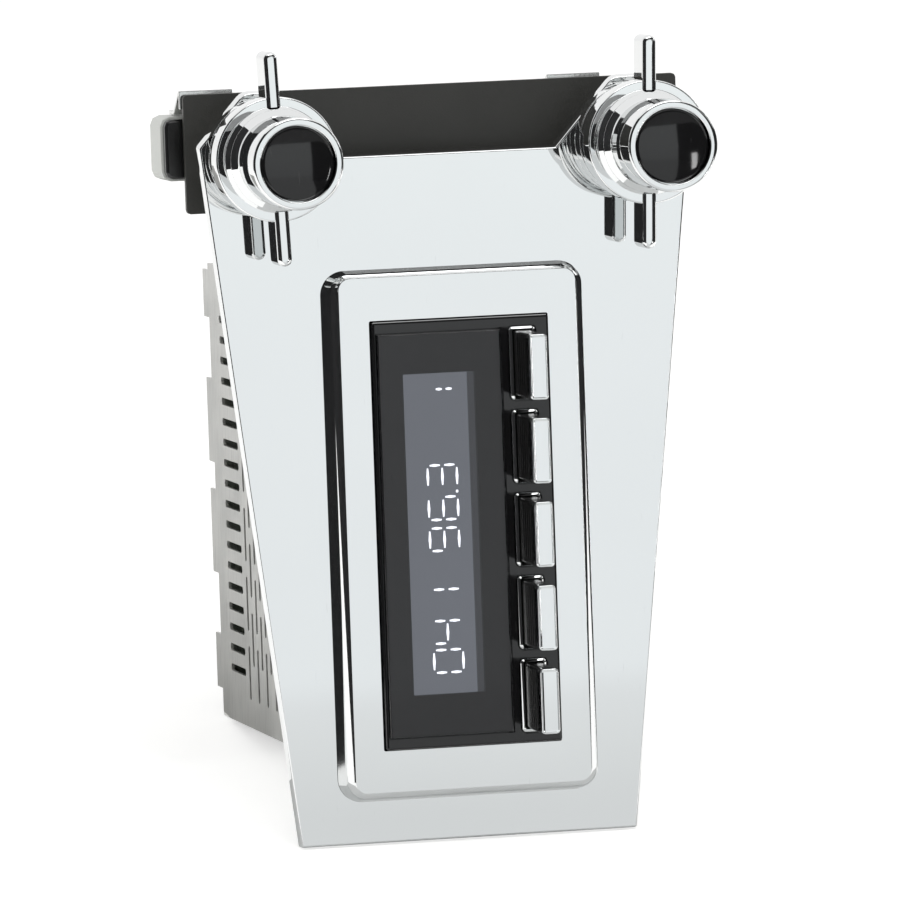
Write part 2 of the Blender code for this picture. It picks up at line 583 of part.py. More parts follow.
# Push buttons: a chromed ring in the nose, a stem that slides in it, and a chromed cap on the stem
for number, height in enumerate(button_heights(), 1):
    at = (RING_X, RING_FACE, height)
    ring = slab(rectangle(RING_WIDTH, RING_HEIGHT, RING_CORNER_RADIUS), 0, RING_THICKNESS)
    surround = place(f"button_ring_{number}", soften(ring, 0, RING_EDGE, 1), CHROME, at)
    hole = rectangle(STEM_WIDTH + 2 * GAP, STEM_HEIGHT + 2 * GAP, STEM_CORNER_RADIUS + GAP)
    combine(surround, f"cut_ring_{number}", slab(hole, -OVERRUN, RING_THICKNESS + OVERRUN))
    at = (RING_X, CAP_FACE, height)
    section = rectangle(STEM_WIDTH, STEM_HEIGHT, STEM_CORNER_RADIUS)
    cap = soften(slab(section, 0, CAP_DEPTH), 0, CAP_EDGE)
    place(f"button_cap_{number}", cap, CHROME, at)
    stop_back = STEM_BACK - CAP_FACE
    shank = slab(section, CAP_DEPTH + GAP, stop_back - STEM_FLANGE_THICKNESS / 2)
    stem = place(f"button_stem_{number}", shank, MATTE_BLACK, at)
    stop = rectangle(STEM_WIDTH + 2 * STEM_FLANGE_REACH, STEM_HEIGHT + 2 * STEM_FLANGE_REACH)
    combine(stem, f"add_stop_{number}", slab(stop, stop_back - STEM_FLANGE_THICKNESS, stop_back), "UNION")

# Chassis frame: front, rear, top and bottom walls of one folded sheet, with a lip against the plate
frame_outline = [
    (FRAME_FRONT, -CHASSIS_HALF_HEIGHT),
    (FRAME_REAR, -CHASSIS_HALF_HEIGHT),
    (FRAME_REAR, CHASSIS_HALF_HEIGHT),
    (FRAME_FRONT, CHASSIS_HALF_HEIGHT),
]
frame_inside = [
    (FRAME_FRONT + SHEET, SHEET - CHASSIS_HALF_HEIGHT),
    (FRAME_REAR - SHEET, SHEET - CHASSIS_HALF_HEIGHT),
    (FRAME_REAR - SHEET, CHASSIS_HALF_HEIGHT - SHEET),
    (FRAME_FRONT + SHEET, CHASSIS_HALF_HEIGHT - SHEET),
]
frame = place("chassis_frame", crosswise(frame_outline, -FRAME_HALF_WIDTH, FRAME_HALF_WIDTH), SHEET_STEEL)
inside_width = FRAME_HALF_WIDTH + OVERRUN
combine(frame, "cut_frame_inside", crosswise(frame_inside, -inside_width, inside_width))
lip_height = CHASSIS_HALF_HEIGHT + FRONT_LIP
lip = rectangle(2 * FRAME_HALF_WIDTH, 2 * lip_height, LIP_CORNER_RADIUS)
combine(frame, "add_front_lip", slab(lip, FRAME_FRONT, FRAME_FRONT + SHEET), "UNION")
combine(frame, "cut_frame_opening", opening(FRAME_FRONT, FRAME_FRONT + SHEET))
for number, (side, end) in enumerate(((-1, -1), (1, -1), (1, 1), (-1, 1)), 1):
    hole = disc(LIP_SCREW_RADIUS, FRAME_FRONT - OVERRUN, FRAME_FRONT + SHEET + OVERRUN, SHAFT_SIDES // 2)
    at = (side * LIP_SCREW_SPACING / 2, 0, end * (CHASSIS_HALF_HEIGHT + FRONT_LIP / 2))
    combine(frame, f"cut_lip_hole_{number}", hole, at=at)

# Covers: flat perforated sheets, with tabs past the rear wall
half = CHASSIS_HALF_HEIGHT
edge = [(FRAME_FRONT, half), (FRAME_FRONT, -half), (FRAME_REAR, -half)]
for low, high in TAB_SPAN_SHARES:
    edge += [(FRAME_REAR, low * half), (FRAME_REAR + TAB_LENGTH, low * half)]
    edge += [(FRAME_REAR + TAB_LENGTH, high * half), (FRAME_REAR, high * half)]
edge.append((FRAME_REAR, half))


def hole_at(middle_y, middle_z, length, height, left, right, mesh):
    """One rectangular hole through a cover."""
    front, back = middle_y - length / 2, middle_y + length / 2
    low, high = middle_z - height / 2, middle_z + height / 2
    crosswise([(front, low), (back, low), (back, high), (front, high)], left, right, mesh)


def perforation(left, right):
    """The vents behind and the staggered upright slots ahead of them, as one cutter."""
    mesh = bmesh.new()
    vent_y = FRAME_REAR - VENT_REAR_MARGIN - VENT_LENGTH / 2
    for row in range(VENT_COUNT):
        middle = (row - (VENT_COUNT - 1) / 2) * VENT_PITCH
        hole_at(vent_y, middle, VENT_LENGTH, VENT_WIDTH, left, right, mesh)
    first = vent_y - VENT_LENGTH / 2 - SLOT_VENT_SPACE
    for column in range(SLOT_COLUMNS):
        count = SLOTS_IN_LONG_COLUMN - column % 2
        for row in range(count):
            middle = (row - (count - 1) / 2) * (SLOT_LENGTH + SLOT_SPACE)
            hole_at(first - column * SLOT_COLUMN_PITCH, middle, SLOT_WIDTH, SLOT_LENGTH, left, right, mesh)
    return mesh


for name, side in (("left_cover", -1), ("right_cover", 1)):
    outside = side * CHASSIS_HALF_WIDTH
    inside = side * (CHASSIS_HALF_WIDTH - COVER_SHEET)
    cover = place(name, crosswise(edge, outside, inside), SHEET_STEEL)
    combine(cover, f"cut_{name}", perforation(outside + side * OVERRUN, inside - side * OVERRUN))

# Heat sink on the rear wall: a base with upright fins
sink_outline = [(-SINK_HALF_WIDTH, FRAME_REAR + GAP)]
fin_pitch = (2 * SINK_HALF_WIDTH - SINK_FIN_THICKNESS) / (SINK_FIN_COUNT - 1)
sink_base_back = FRAME_REAR + GAP + SINK_BASE
sink_back = sink_base_back + SINK_FIN_HEIGHT
for fin in range(SINK_FIN_COUNT):
    left = fin * fin_pitch - SINK_HALF_WIDTH
    right = left + SINK_FIN_THICKNESS
    if fin > 0:
        sink_outline.append((left, sink_base_back))
    sink_outline += [(left, sink_back), (right, sink_back)]
    if fin < SINK_FIN_COUNT - 1:
        sink_outline.append((right, sink_base_back))
sink_outline.append((SINK_HALF_WIDTH, FRAME_REAR + GAP))
sink = bmesh.new()
sink_foot = sink.faces.new([sink.verts.new((x, y, SINK_BOTTOM)) for x, y in sink_outline])
sink_top = bmesh.ops.extrude_face_region(sink, geom=[sink_foot])["geom"]
raised = [part for part in sink_top if isinstance(part, bmesh.types.BMVert)]
bmesh.ops.translate(sink, vec=(0, 0, SINK_HEIGHT), verts=raised)
bmesh.ops.recalc_face_normals(sink, faces=sink.faces)
place("heat_sink", sink, ALUMINIUM)

# Power socket: a rectangular cup through the rear wall, with a flange outside it
socket_back = FRAME_REAR + SOCKET_PROUD
socket_outline = rectangle(SOCKET_WIDTH, SOCKET_HEIGHT, 0, SOCKET_X, SOCKET_Z)
socket = place("power_socket", slab(socket_outline, socket_back - SOCKET_DEPTH, socket_back), GLOSS_BLACK)
reach = 2 * SOCKET_FLANGE_REACH
socket_flange = rectangle(SOCKET_WIDTH + reach, SOCKET_HEIGHT + reach, 0, SOCKET_X, SOCKET_Z)
flange_front = FRAME_REAR + GAP
flange_back = flange_front + SOCKET_FLANGE_THICKNESS
combine(socket, "add_socket_flange", slab(socket_flange, flange_front, flange_back), "UNION")
cup = rectangle(SOCKET_WIDTH - 2 * SOCKET_WALL, SOCKET_HEIGHT - 2 * SOCKET_WALL, 0, SOCKET_X, SOCKET_Z)
combine(socket, "cut_socket_cup", slab(cup, socket_back - SOCKET_CAVITY_DEPTH, socket_back + OVERRUN))
socket_hole = rectangle(SOCKET_WIDTH + 2 * GAP, SOCKET_HEIGHT + 2 * GAP, 0, SOCKET_X, SOCKET_Z)
combine(frame, "cut_socket_hole", slab(socket_hole, FRAME_REAR - SHEET - OVERRUN, FRAME_REAR + OVERRUN))

# Aerial socket: a round barrel with a blind bore
aerial_section = [
    (0, socket_back - AERIAL_BORE_DEPTH),
    (AERIAL_BORE_RADIUS, socket_back - AERIAL_BORE_DEPTH),
    (AERIAL_BORE_RADIUS, socket_back),
    (AERIAL_RADIUS, socket_back),
    (AERIAL_RADIUS, flange_back),
    (AERIAL_FLANGE_RADIUS, flange_back),
    (AERIAL_FLANGE_RADIUS, flange_front),
    (AERIAL_RADIUS, flange_front),
    (AERIAL_RADIUS, socket_back - SOCKET_DEPTH),
    (0, socket_back - SOCKET_DEPTH),
]
place("aerial_socket", turned(aerial_section, SHAFT_SIDES), BRIGHT_STEEL, (AERIAL_X, 0, SOCKET_Z))
aerial_hole = disc(AERIAL_RADIUS + GAP, FRAME_REAR - SHEET - OVERRUN, FRAME_REAR + OVERRUN)
combine(frame, "cut_aerial_hole", aerial_hole, at=(AERIAL_X, 0, SOCKET_Z))

# Main board: upright between the frame's top and bottom walls, with its parts and a screened tuner on it
board_half_height = CHASSIS_HALF_HEIGHT - SHEET - GAP
main_board_back = FRAME_REAR - SHEET - MAIN_BOARD_REAR_SPACE
board_right = MAIN_BOARD_X + BOARD_THICKNESS
board_depth = main_board_back - main_board_front
main_outline = [
    (main_board_front, -board_half_height),
    (main_board_back, -board_half_height),
    (main_board_back, board_half_height),
    (main_board_front, board_half_height),
]
main_board = place("main_board", crosswise(main_outline, MAIN_BOARD_X, board_right), BOARD_GREEN)
parts = bmesh.new()
free_width = FRAME_HALF_WIDTH - board_right
for depth_share, height_share, long_share, tall_share, rise_share in PART_SHARES:
    middle_y = main_board_front + depth_share * board_depth
    middle_z = height_share * board_half_height
    top = board_right + rise_share * free_width
    length, height = long_share * board_depth, tall_share * board_half_height
    hole_at(middle_y, middle_z, length, height, board_right - PART_SINK, top, parts)
combine(main_board, "add_board_parts", parts, "UNION")
tuner_back = main_board_back - TUNER_REAR_SPACE
tuner = bmesh.new()
tuner_left = board_right + GAP
tuner_y = tuner_back - TUNER_DEPTH / 2
hole_at(tuner_y, TUNER_Z, TUNER_DEPTH, TUNER_HEIGHT, tuner_left, tuner_left + TUNER_WIDTH, tuner)
place("tuner_can", tuner, BRIGHT_STEEL)

# Support plate: one black plate behind both ears
support_height = SUPPORT_TOP_REACH + SUPPORT_BOTTOM_REACH
support_z = KNOB_AXIS_Z + (SUPPORT_TOP_REACH - SUPPORT_BOTTOM_REACH) / 2
support_outline = rectangle(2 * SUPPORT_HALF_WIDTH, support_height, SUPPORT_CORNER_RADIUS, 0, support_z)
support = place("support_plate", slab(support_outline, SUPPORT_FRONT, SUPPORT_BACK), MATTE_BLACK)


def control(side, at):
    """The control behind one stack: housing, metal can, small board and the strap over the support plate."""
    middle_x = (HOUSING_RIGHT - HOUSING_LEFT) / 2
    width = HOUSING_RIGHT + HOUSING_LEFT
    outline = rectangle(width, 2 * HOUSING_HALF_HEIGHT, HOUSING_CORNER_RADIUS, middle_x, HOUSING_CENTRE_Z)
    body = soften(slab(outline, HOUSING_FRONT, CAN_FRONT - GAP), HOUSING_FRONT, HOUSING_EDGE, 1)
    housing = place(f"{side}_control_housing", body, MATTE_BLACK, at)
    bore = disc(BUSH_BORE_RADIUS, HOUSING_FRONT - OVERRUN, CAN_FRONT + OVERRUN)
    combine(housing, f"cut_{side}_housing_bore", bore)
    can_width = width + 2 * CAN_OVERSIZE
    outline = rectangle(can_width, 2 * CAN_HALF_HEIGHT, CAN_CORNER_RADIUS, middle_x, HOUSING_CENTRE_Z)
    can = place(f"{side}_control_can", slab(outline, CAN_FRONT, CAN_BACK), GREY_CAN, at)
    floor = SHAFT_END + PLUNGER_LENGTH + PRESS_TRAVEL + 2 * GAP
    combine(can, f"cut_{side}_can_bore", disc(BUSH_BORE_RADIUS, CAN_FRONT - OVERRUN, floor))
    board_width = can_width - 2 * CONTROL_BOARD_INSET
    board_height = 2 * (CAN_HALF_HEIGHT - CONTROL_BOARD_INSET)
    outline = rectangle(board_width, board_height, CAN_CORNER_RADIUS, middle_x, HOUSING_CENTRE_Z)
    board_front = CAN_BACK + GAP
    place(f"{side}_control_board", slab(outline, board_front, board_front + BOARD_THICKNESS), BOARD_GREEN, at)
    outer_y, inner_y = SUPPORT_BACK + GAP, SUPPORT_BACK + GAP + BRACKET_THICKNESS
    top_z = SUPPORT_TOP_REACH + BRACKET_ABOVE_PLATE
    foot_z = HOUSING_CENTRE_Z + CAN_HALF_HEIGHT + GAP
    bend_y = outer_y + BRACKET_RUN
    strap = [
        (outer_y, top_z - BRACKET_LEG),
        (inner_y, top_z - BRACKET_LEG),
        (inner_y, top_z - BRACKET_THICKNESS),
        (bend_y - BRACKET_THICKNESS / 2, foot_z),
        (bend_y + BRACKET_FOOT, foot_z),
        (bend_y + BRACKET_FOOT, foot_z + BRACKET_THICKNESS),
        (bend_y, foot_z + BRACKET_THICKNESS),
        (inner_y + BRACKET_THICKNESS / 2, top_z),
        (outer_y, top_z),
    ]
    place(f"{side}_control_bracket", crosswise(strap, -BRACKET_LEFT, -BRACKET_RIGHT), BRIGHT_STEEL, at)


def fixing(side, at):
    """What holds the stack to both plates: threaded bush, spacer between the plates, nut and collar."""
    flange_back = HOUSING_FRONT - GAP
    flange_front = SUPPORT_BACK + GAP
    section = [
        (BUSH_BORE_RADIUS, BUSH_FRONT),
        (BUSH_RADIUS, BUSH_FRONT),
        (BUSH_RADIUS, flange_front),
        (BUSH_FLANGE_RADIUS, flange_front),
        (BUSH_FLANGE_RADIUS, flange_back),
        (BUSH_BORE_RADIUS, flange_back),
    ]
    place(f"{side}_bush", turned(section, SHAFT_SIDES), BRIGHT_STEEL, at)
    spacer = tube(HOLE_RADIUS, HOLE_RADIUS + SPACER_WALL, PLATE_BACK + GAP, SUPPORT_FRONT - GAP)
    place(f"{side}_spacer", spacer, BRIGHT_STEEL, at)
    corner = NUT_FLATS / 2 / math.cos(math.pi / NUT_SIDES)
    nut = place(f"{side}_nut", disc(corner, NUT_FRONT, -GAP, NUT_SIDES), BRIGHT_STEEL, at)
    combine(nut, f"cut_{side}_nut", disc(HOLE_RADIUS, NUT_FRONT - OVERRUN, OVERRUN))
    combine(faceplate, f"cut_{side}_plate_hole", disc(HOLE_RADIUS, -OVERRUN, PLATE_BACK + OVERRUN), at=at)
    support_hole = disc(HOLE_RADIUS, SUPPORT_FRONT - OVERRUN, SUPPORT_BACK + OVERRUN)
    combine(support, f"cut_{side}_support_hole", support_hole, at=at)
    cavity = corner + GAP
    cavity_floor = BUSH_FRONT - GAP
    groove_back = COLLAR_BACK - COLLAR_FOOT
    groove_front = groove_back - COLLAR_GROOVE_WIDTH
    section = [
        (BUSH_BORE_RADIUS, cavity_floor),
        (BUSH_BORE_RADIUS, COLLAR_FRONT),
        (COLLAR_RADIUS - COLLAR_EDGE, COLLAR_FRONT),
        (COLLAR_RADIUS, COLLAR_FRONT + COLLAR_EDGE),
        (COLLAR_RADIUS, groove_front),
        (COLLAR_RADIUS - COLLAR_GROOVE_DEPTH, groove_front),
        (COLLAR_RADIUS - COLLAR_GROOVE_DEPTH, groove_back),
        (COLLAR_RADIUS, groove_back),
        (COLLAR_RADIUS, COLLAR_BACK),
        (cavity, COLLAR_BACK),
        (cavity, cavity_floor),
    ]
    place(f"{side}_collar", turned(section, KNOB_SIDES), CHROME, at)


def rear_knob(side, at):
    """The winged knob and the tube that it turns."""
    section = [
        (BUSH_BORE_RADIUS, REAR_KNOB_BACK),
        (REAR_KNOB_RADIUS - REAR_KNOB_BACK_BEVEL, REAR_KNOB_BACK),
        (REAR_KNOB_RADIUS, REAR_KNOB_BACK - REAR_KNOB_BACK_BEVEL),
        (REAR_KNOB_RADIUS, REAR_KNOB_FRONT + REAR_KNOB_FRONT_BEVEL),
        (REAR_KNOB_RADIUS - REAR_KNOB_FRONT_BEVEL, REAR_KNOB_FRONT),
        (REAR_KNOB_FACE_RADIUS, REAR_KNOB_FRONT),
        (REAR_KNOB_FACE_RADIUS, REAR_KNOB_FACE),
        (BUSH_BORE_RADIUS, REAR_KNOB_FACE),
    ]
    knob = place(f"{side}_rear_knob", turned(section, KNOB_SIDES), CHROME, at)
    root = REAR_KNOB_RADIUS - WING_ROOT
    wing_front = REAR_KNOB_FRONT - WING_FRONT_OVERHANG
    wing_back = REAR_KNOB_BACK + WING_BACK_OVERHANG
    blades = bmesh.new()
    for way in (1, -1):
        tip = (WING_WIDTH / 2, way * WING_REACH, WING_WIDTH / 2 - SAME_PLACE)
        far_tip = (-WING_WIDTH / 2, way * WING_REACH, WING_WIDTH / 2 - SAME_PLACE)
        outline = rounded([(-WING_WIDTH / 2, way * root, 0), (WING_WIDTH / 2, way * root, 0), tip, far_tip])
        slab(outline, wing_front, wing_back, blades)
    for depth in (wing_front, wing_back):
        soften(blades, depth, WING_EDGE)
    combine(knob, f"add_{side}_wings", blades, "UNION")
    clear = tube(BUSH_BORE_RADIUS / 2, COLLAR_RADIUS + GAP, REAR_KNOB_BACK, wing_back + OVERRUN, KNOB_SIDES)
    combine(knob, f"cut_{side}_collar_clearance", clear)
    shaft = tube(OUTER_SHAFT_BORE, OUTER_SHAFT_RADIUS, REAR_KNOB_FACE + GAP, CAN_FRONT - 2 * GAP)
    place(f"{side}_outer_shaft", shaft, BRIGHT_STEEL, at)


def front_knob(side, at):
    """The knob that turns without end and presses, its domed inlay, its shaft and the plunger it pushes."""
    neck_back = FLANGE_BACK - FLANGE_THICKNESS
    neck_front = neck_back - KNOB_NECK_LENGTH
    rim_back = RIM_FACE + RIM_LENGTH
    seat = INLAY_BACK + GAP
    section = [
        (0, SHAFT_TIP - GAP),
        (OUTER_SHAFT_BORE, SHAFT_TIP - GAP),
        (OUTER_SHAFT_BORE, FLANGE_BACK),
        (FLANGE_RADIUS - FLANGE_BEVEL, FLANGE_BACK),
        (FLANGE_RADIUS, FLANGE_BACK - FLANGE_BEVEL),
        (FLANGE_RADIUS, neck_back + FLANGE_BEVEL),
        (FLANGE_RADIUS - FLANGE_BEVEL, neck_back),
        (KNOB_STEP_RADIUS, neck_back),
        ((KNOB_STEP_RADIUS + 2 * KNOB_WAIST_RADIUS) / 3, (neck_back + neck_front) / 2),
        (KNOB_WAIST_RADIUS, neck_front),
        (KNOB_WAIST_RADIUS, rim_back),
        (RIM_RADIUS, rim_back - RIM_BEVEL),
        (RIM_RADIUS, RIM_FACE + RIM_BEVEL),
        (RIM_RADIUS - RIM_BEVEL, RIM_FACE),
        (RIM_INNER_RADIUS + RIM_BEVEL, RIM_FACE),
        (RIM_INNER_RADIUS, RIM_FACE + RIM_BEVEL),
        (RIM_INNER_RADIUS, seat),
        (0, seat),
    ]
    place(f"{side}_front_knob", turned(section, KNOB_SIDES), CHROME, at)
    inlay_radius = RIM_INNER_RADIUS - GAP
    edge_front = INLAY_BACK - INLAY_THICKNESS
    section = [(0, INLAY_BACK), (inlay_radius, INLAY_BACK)]
    for step in range(INLAY_STEPS + 1):
        share = step / INLAY_STEPS
        section.append((inlay_radius * (1 - share), edge_front - INLAY_DOME * (1 - (1 - share) ** 2)))
    place(f"{side}_knob_inlay", turned(section, KNOB_SIDES), GLOSS_BLACK, at)
    place(f"{side}_inner_shaft", disc(INNER_SHAFT_RADIUS, SHAFT_TIP, SHAFT_END), BRIGHT_STEEL, at)
    plunger = disc(OUTER_SHAFT_RADIUS, SHAFT_END + GAP, SHAFT_END + GAP + PLUNGER_LENGTH)
    place(f"{side}_plunger", plunger, BRIGHT_STEEL, at)


for side, axis_x in (("left", -KNOB_AXIS_X), ("right", KNOB_AXIS_X)):
    axis = (axis_x, 0, KNOB_AXIS_Z)
    control(side, axis)
    fixing(side, axis)
    rear_knob(side, axis)
    front_knob(side, axis)

# Stand the radio on the floor, with zero at the middle of the space that it takes
bpy.context.view_layer.update()
graph = bpy.context.evaluated_depsgraph_get()
low = Vector((math.inf, math.inf, math.inf))
high = -low
for piece in bpy.context.scene.objects:
    if piece.type != "MESH" or piece.hide_render:
        continue
    shape = piece.evaluated_get(graph)
    for vertex in shape.data.vertices:
        point = shape.matrix_world @ vertex.co
        low = Vector(map(min, low, point))
        high = Vector(map(max, high, point))
stance.location = (-(low.x + high.x) / 2, -(low.y + high.y) / 2, -low.z)
print("leans back", round(math.degrees(LEAN), 2), "degrees and takes", high - low)
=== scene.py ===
# %% [markdown]
# Dressing a car radio in Blender.
# The radio was first built as plain solids, one for each real piece, and packed as a fixed frame. This lesson
# gives it its looks. Where a solid already has the right shape it only gets a finish. Where the eye would
# miss soft edges, rolled rims or rounded slots, a finer piece is modelled by hand and takes the solid's
# place.

# %% Load the frame
import json
import math

import bmesh
import bpy
from mathutils import Matrix, Vector

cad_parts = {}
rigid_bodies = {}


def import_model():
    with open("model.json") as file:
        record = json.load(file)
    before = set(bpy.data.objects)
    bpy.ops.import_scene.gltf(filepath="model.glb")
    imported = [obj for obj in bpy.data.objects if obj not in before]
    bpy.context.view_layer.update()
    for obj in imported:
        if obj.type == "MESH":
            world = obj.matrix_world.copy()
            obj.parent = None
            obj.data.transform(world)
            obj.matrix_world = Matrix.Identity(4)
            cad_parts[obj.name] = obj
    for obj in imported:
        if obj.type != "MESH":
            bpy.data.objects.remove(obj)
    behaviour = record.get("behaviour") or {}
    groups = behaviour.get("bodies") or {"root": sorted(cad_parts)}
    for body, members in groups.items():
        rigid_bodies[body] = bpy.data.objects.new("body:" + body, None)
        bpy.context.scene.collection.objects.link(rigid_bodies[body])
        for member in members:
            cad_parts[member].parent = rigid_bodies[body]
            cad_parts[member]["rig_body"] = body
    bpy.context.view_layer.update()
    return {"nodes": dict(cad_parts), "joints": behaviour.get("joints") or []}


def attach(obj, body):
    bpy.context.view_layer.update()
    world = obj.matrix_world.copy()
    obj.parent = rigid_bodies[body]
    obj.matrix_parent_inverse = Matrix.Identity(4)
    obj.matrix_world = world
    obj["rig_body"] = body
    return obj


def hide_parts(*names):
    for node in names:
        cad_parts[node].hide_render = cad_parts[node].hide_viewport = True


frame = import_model()
nodes = frame["nodes"]

# %% [markdown]
# The radio leans back on the floor, so nothing on its front is upright. It is far easier to draw every piece
# in the plate's own frame: X across the plate, Y into the radio, Z up the plate, with zero at the middle of
# the display opening. The push buttons slide straight into the plate, so the axis of one of them gives the
# depth, and the two dials give the place.

# %% The plate's own frame
MM = 0.001
KNOB_HEIGHT = 94.8 * MM
joints = {joint["name"]: joint for joint in frame["joints"]}
across = Vector((1, 0, 0))
into = Vector(joints["button_1_press"]["axis"])
up = across.cross(into)
left_axis = Vector(joints["left_dial_turn"]["pos_m"])
right_axis = Vector(joints["right_dial_turn"]["pos_m"])
zero = (left_axis + right_axis) / 2 - up * KNOB_HEIGHT
stance = Matrix((across, into, up)).transposed().to_4x4()
stance.translation = zero
to_plate = stance.inverted()
KNOB_X = (right_axis - left_axis).length / 2
print("The plate leans back", round(math.degrees(math.asin(-into.z)), 2), "degrees")


def measure(node):
    """Lowest and highest corner of a solid, in the plate's own frame."""
    points = [to_plate @ vertex.co for vertex in nodes[node].data.vertices]
    low = Vector([min(point[axis] for point in points) for axis in range(3)])
    high = Vector([max(point[axis] for point in points) for axis in range(3)])
    return low, high


# %% [markdown]
# The camera stood about two and a half metres away, a little to the left and above, with a long lens, so that
# the plate keeps nearly parallel sides. Its place was found by fitting the plate's corners and the rims of
# the knobs. It is kept here as turns and distances that a photographer would understand.

# %% Camera
PICTURE = 900
SENSOR = 36.0
YAW = math.radians(13.11781)
PITCH = math.radians(4.72636)
ROLL = math.radians(2.01164)
DISTANCE = 2534.474 * MM
AIM_ACROSS = -2.34594 * MM
AIM_UP = 19.71347 * MM
FOCAL_PIXELS = 10238.529

back = Vector((-math.sin(YAW) * math.cos(PITCH), -math.cos(YAW) * math.cos(PITCH), math.sin(PITCH)))
level_right = (-back).cross(Vector((0, 0, 1))).normalized()
level_up = level_right.cross(-back)
right = math.cos(ROLL) * level_right - math.sin(ROLL) * level_up
top = math.sin(ROLL) * level_right + math.cos(ROLL) * level_up
place = back * DISTANCE + right * AIM_ACROSS + top * AIM_UP
camera_matrix = Matrix((right, top, back)).transposed().to_4x4()
camera_matrix.translation = place
lens = bpy.data.cameras.new("product_camera")
lens.sensor_width = SENSOR
lens.lens = FOCAL_PIXELS * SENSOR / PICTURE
lens.clip_start = 0.1
camera = bpy.data.objects.new("product_camera", lens)
bpy.context.scene.collection.objects.link(camera)
camera.matrix_world = stance @ camera_matrix
bpy.context.scene.camera = camera
bpy.context.scene.view_settings.view_transform = "Standard"
print("The camera looks through a", round(lens.lens), "mm lens")

# %% [markdown]
# Every look in this lesson is a small tree of shader nodes. Wired by hand, one tree is many clicks, and here
# it would be many lines. So a few helpers add a node, feed its inputs, place a calculation and start a
# material. An input is given a plain value, a colour or the socket of another node.

# %% Helpers for shader nodes


def feed(tree, node, inputs):
    """Gives inputs of a node plain values, colours or the sockets that feed them."""
    for label, value in inputs.items():
        socket = node.inputs[label]
        if isinstance(value, bpy.types.NodeSocket):
            tree.links.new(value, socket)
        elif socket.type == "RGBA":
            socket.default_value = (*value, 1)
        else:
            socket.default_value = value


def add(tree, kind, inputs={}, **settings):
    """A new shader node with these settings and inputs."""
    node = tree.nodes.new("ShaderNode" + kind)
    for label, value in settings.items():
        setattr(node, label, value)
    feed(tree, node, inputs)
    return node


def calculate(tree, operation, first, second, clamp=False):
    """A Math node on two values, each a socket or a plain number."""
    return add(tree, "Math", {0: first, 1: second}, operation=operation, use_clamp=clamp).outputs[0]


def new_material(name):
    """A new material with its tree and its main shader."""
    material = bpy.data.materials.new(name)
    material.use_nodes = True
    return material, material.node_tree, material.node_tree.nodes["Principled BSDF"]


kinds = [one for one in dir(bpy.types) if one.startswith("ShaderNode")]
print("Blender knows", len(kinds), "kinds of shader node")

# %% [markdown]
# Chrome has no colour of its own: it shows the room. So the room is the first thing to build. It is white all
# round, as in a photographer's tent, and the dark lines on the knobs come from a few black cards beside the
# radio. The world is plain white for what the camera, mirrors and glass see, and softer for what it lights.

# %% World
AMBIENT = 0.62
WARM_WHITE = (1.0, 0.995, 0.985)
world = bpy.data.worlds.new("white_tent")
bpy.context.scene.world = world
world.use_nodes = True
tree = world.node_tree
tree.nodes.clear()
seen = add(tree, "Background", {"Color": (1, 1, 1), "Strength": 1.0})
lighting = add(tree, "Background", {"Color": WARM_WHITE, "Strength": AMBIENT})
ray = add(tree, "LightPath").outputs
mirrored = calculate(tree, "MAXIMUM", ray["Is Camera Ray"], ray["Is Glossy Ray"])
in_view = calculate(tree, "MAXIMUM", mirrored, ray["Is Transmission Ray"])
choose = add(tree, "MixShader", {0: in_view, 1: lighting.outputs[0], 2: seen.outputs[0]})
add(tree, "OutputWorld", {"Surface": choose.outputs[0]})
print("The world is white where it is seen and", AMBIENT, "where it lights")

# %% [markdown]
# The floor is a white sweep. To the camera and in the chrome it is nearly as white as the world, and a part
# of it stays an ordinary pale surface, so that the radio still throws its faint shadow.

# %% Floor
FLOOR_SIZE = 12.0
FLOOR_WHITE_SHARE = 0.25
FLOOR_GLOW = 2.1
FLOOR_WHITE = (0.9, 0.9, 0.89)

bpy.ops.mesh.primitive_plane_add(size=FLOOR_SIZE)
floor = bpy.context.object
floor.name = "floor"
white_floor, tree, shader = new_material("white_floor")
feed(tree, shader, {"Base Color": FLOOR_WHITE, "Roughness": 0.7})
glow = add(tree, "Emission", {"Strength": FLOOR_GLOW})
ray = add(tree, "LightPath").outputs
mirrored = calculate(tree, "MAXIMUM", ray["Is Camera Ray"], ray["Is Glossy Ray"])
share = calculate(tree, "MULTIPLY", mirrored, FLOOR_WHITE_SHARE)
blend = add(tree, "MixShader", {0: share, 1: shader.outputs[0], 2: glow.outputs[0]})
feed(tree, tree.nodes["Material Output"], {"Surface": blend.outputs[0]})
floor.data.materials.append(white_floor)
print("The floor is", FLOOR_SIZE, "m wide")

# %% [markdown]
# Cards make chrome look like chrome. The flat faces mirror one pale window straight ahead of them, and every
# rounded edge mirrors what stands beside that window: black to the left and right, a dim grey strip above it,
# and a grey sheet at the foot that is painted shadow, in place of the radio's own shadow on the floor just in
# front of the plate. The right edge of the window stands farther off, so that both knobs mirror it at about
# the same place. Each card is curved round the radio and given by the bearings, in degrees, that it covers,
# and by its heights and distances in metres. Cards are seen by mirrors only: they hide nothing from the
# camera and throw no shadow.

# %% Cards
CARD_DISTANCE = 1.0
FAR_DISTANCE = 2.4
CARD_STEPS = 8
WINDOW_START, WINDOW_END = -8, 17.3
WINDOW_TOP = 0.39
FAR_TOP = WINDOW_TOP * FAR_DISTANCE / CARD_DISTANCE
STRIP_TOP = 0.60
SHEET_LIFT = 0.0001
BLACK = (0.007, 0.007, 0.008)
DIM_GREY = (0.34, 0.345, 0.35)
FOOT_SHADOW_GREY = (0.62, 0.63, 0.63)


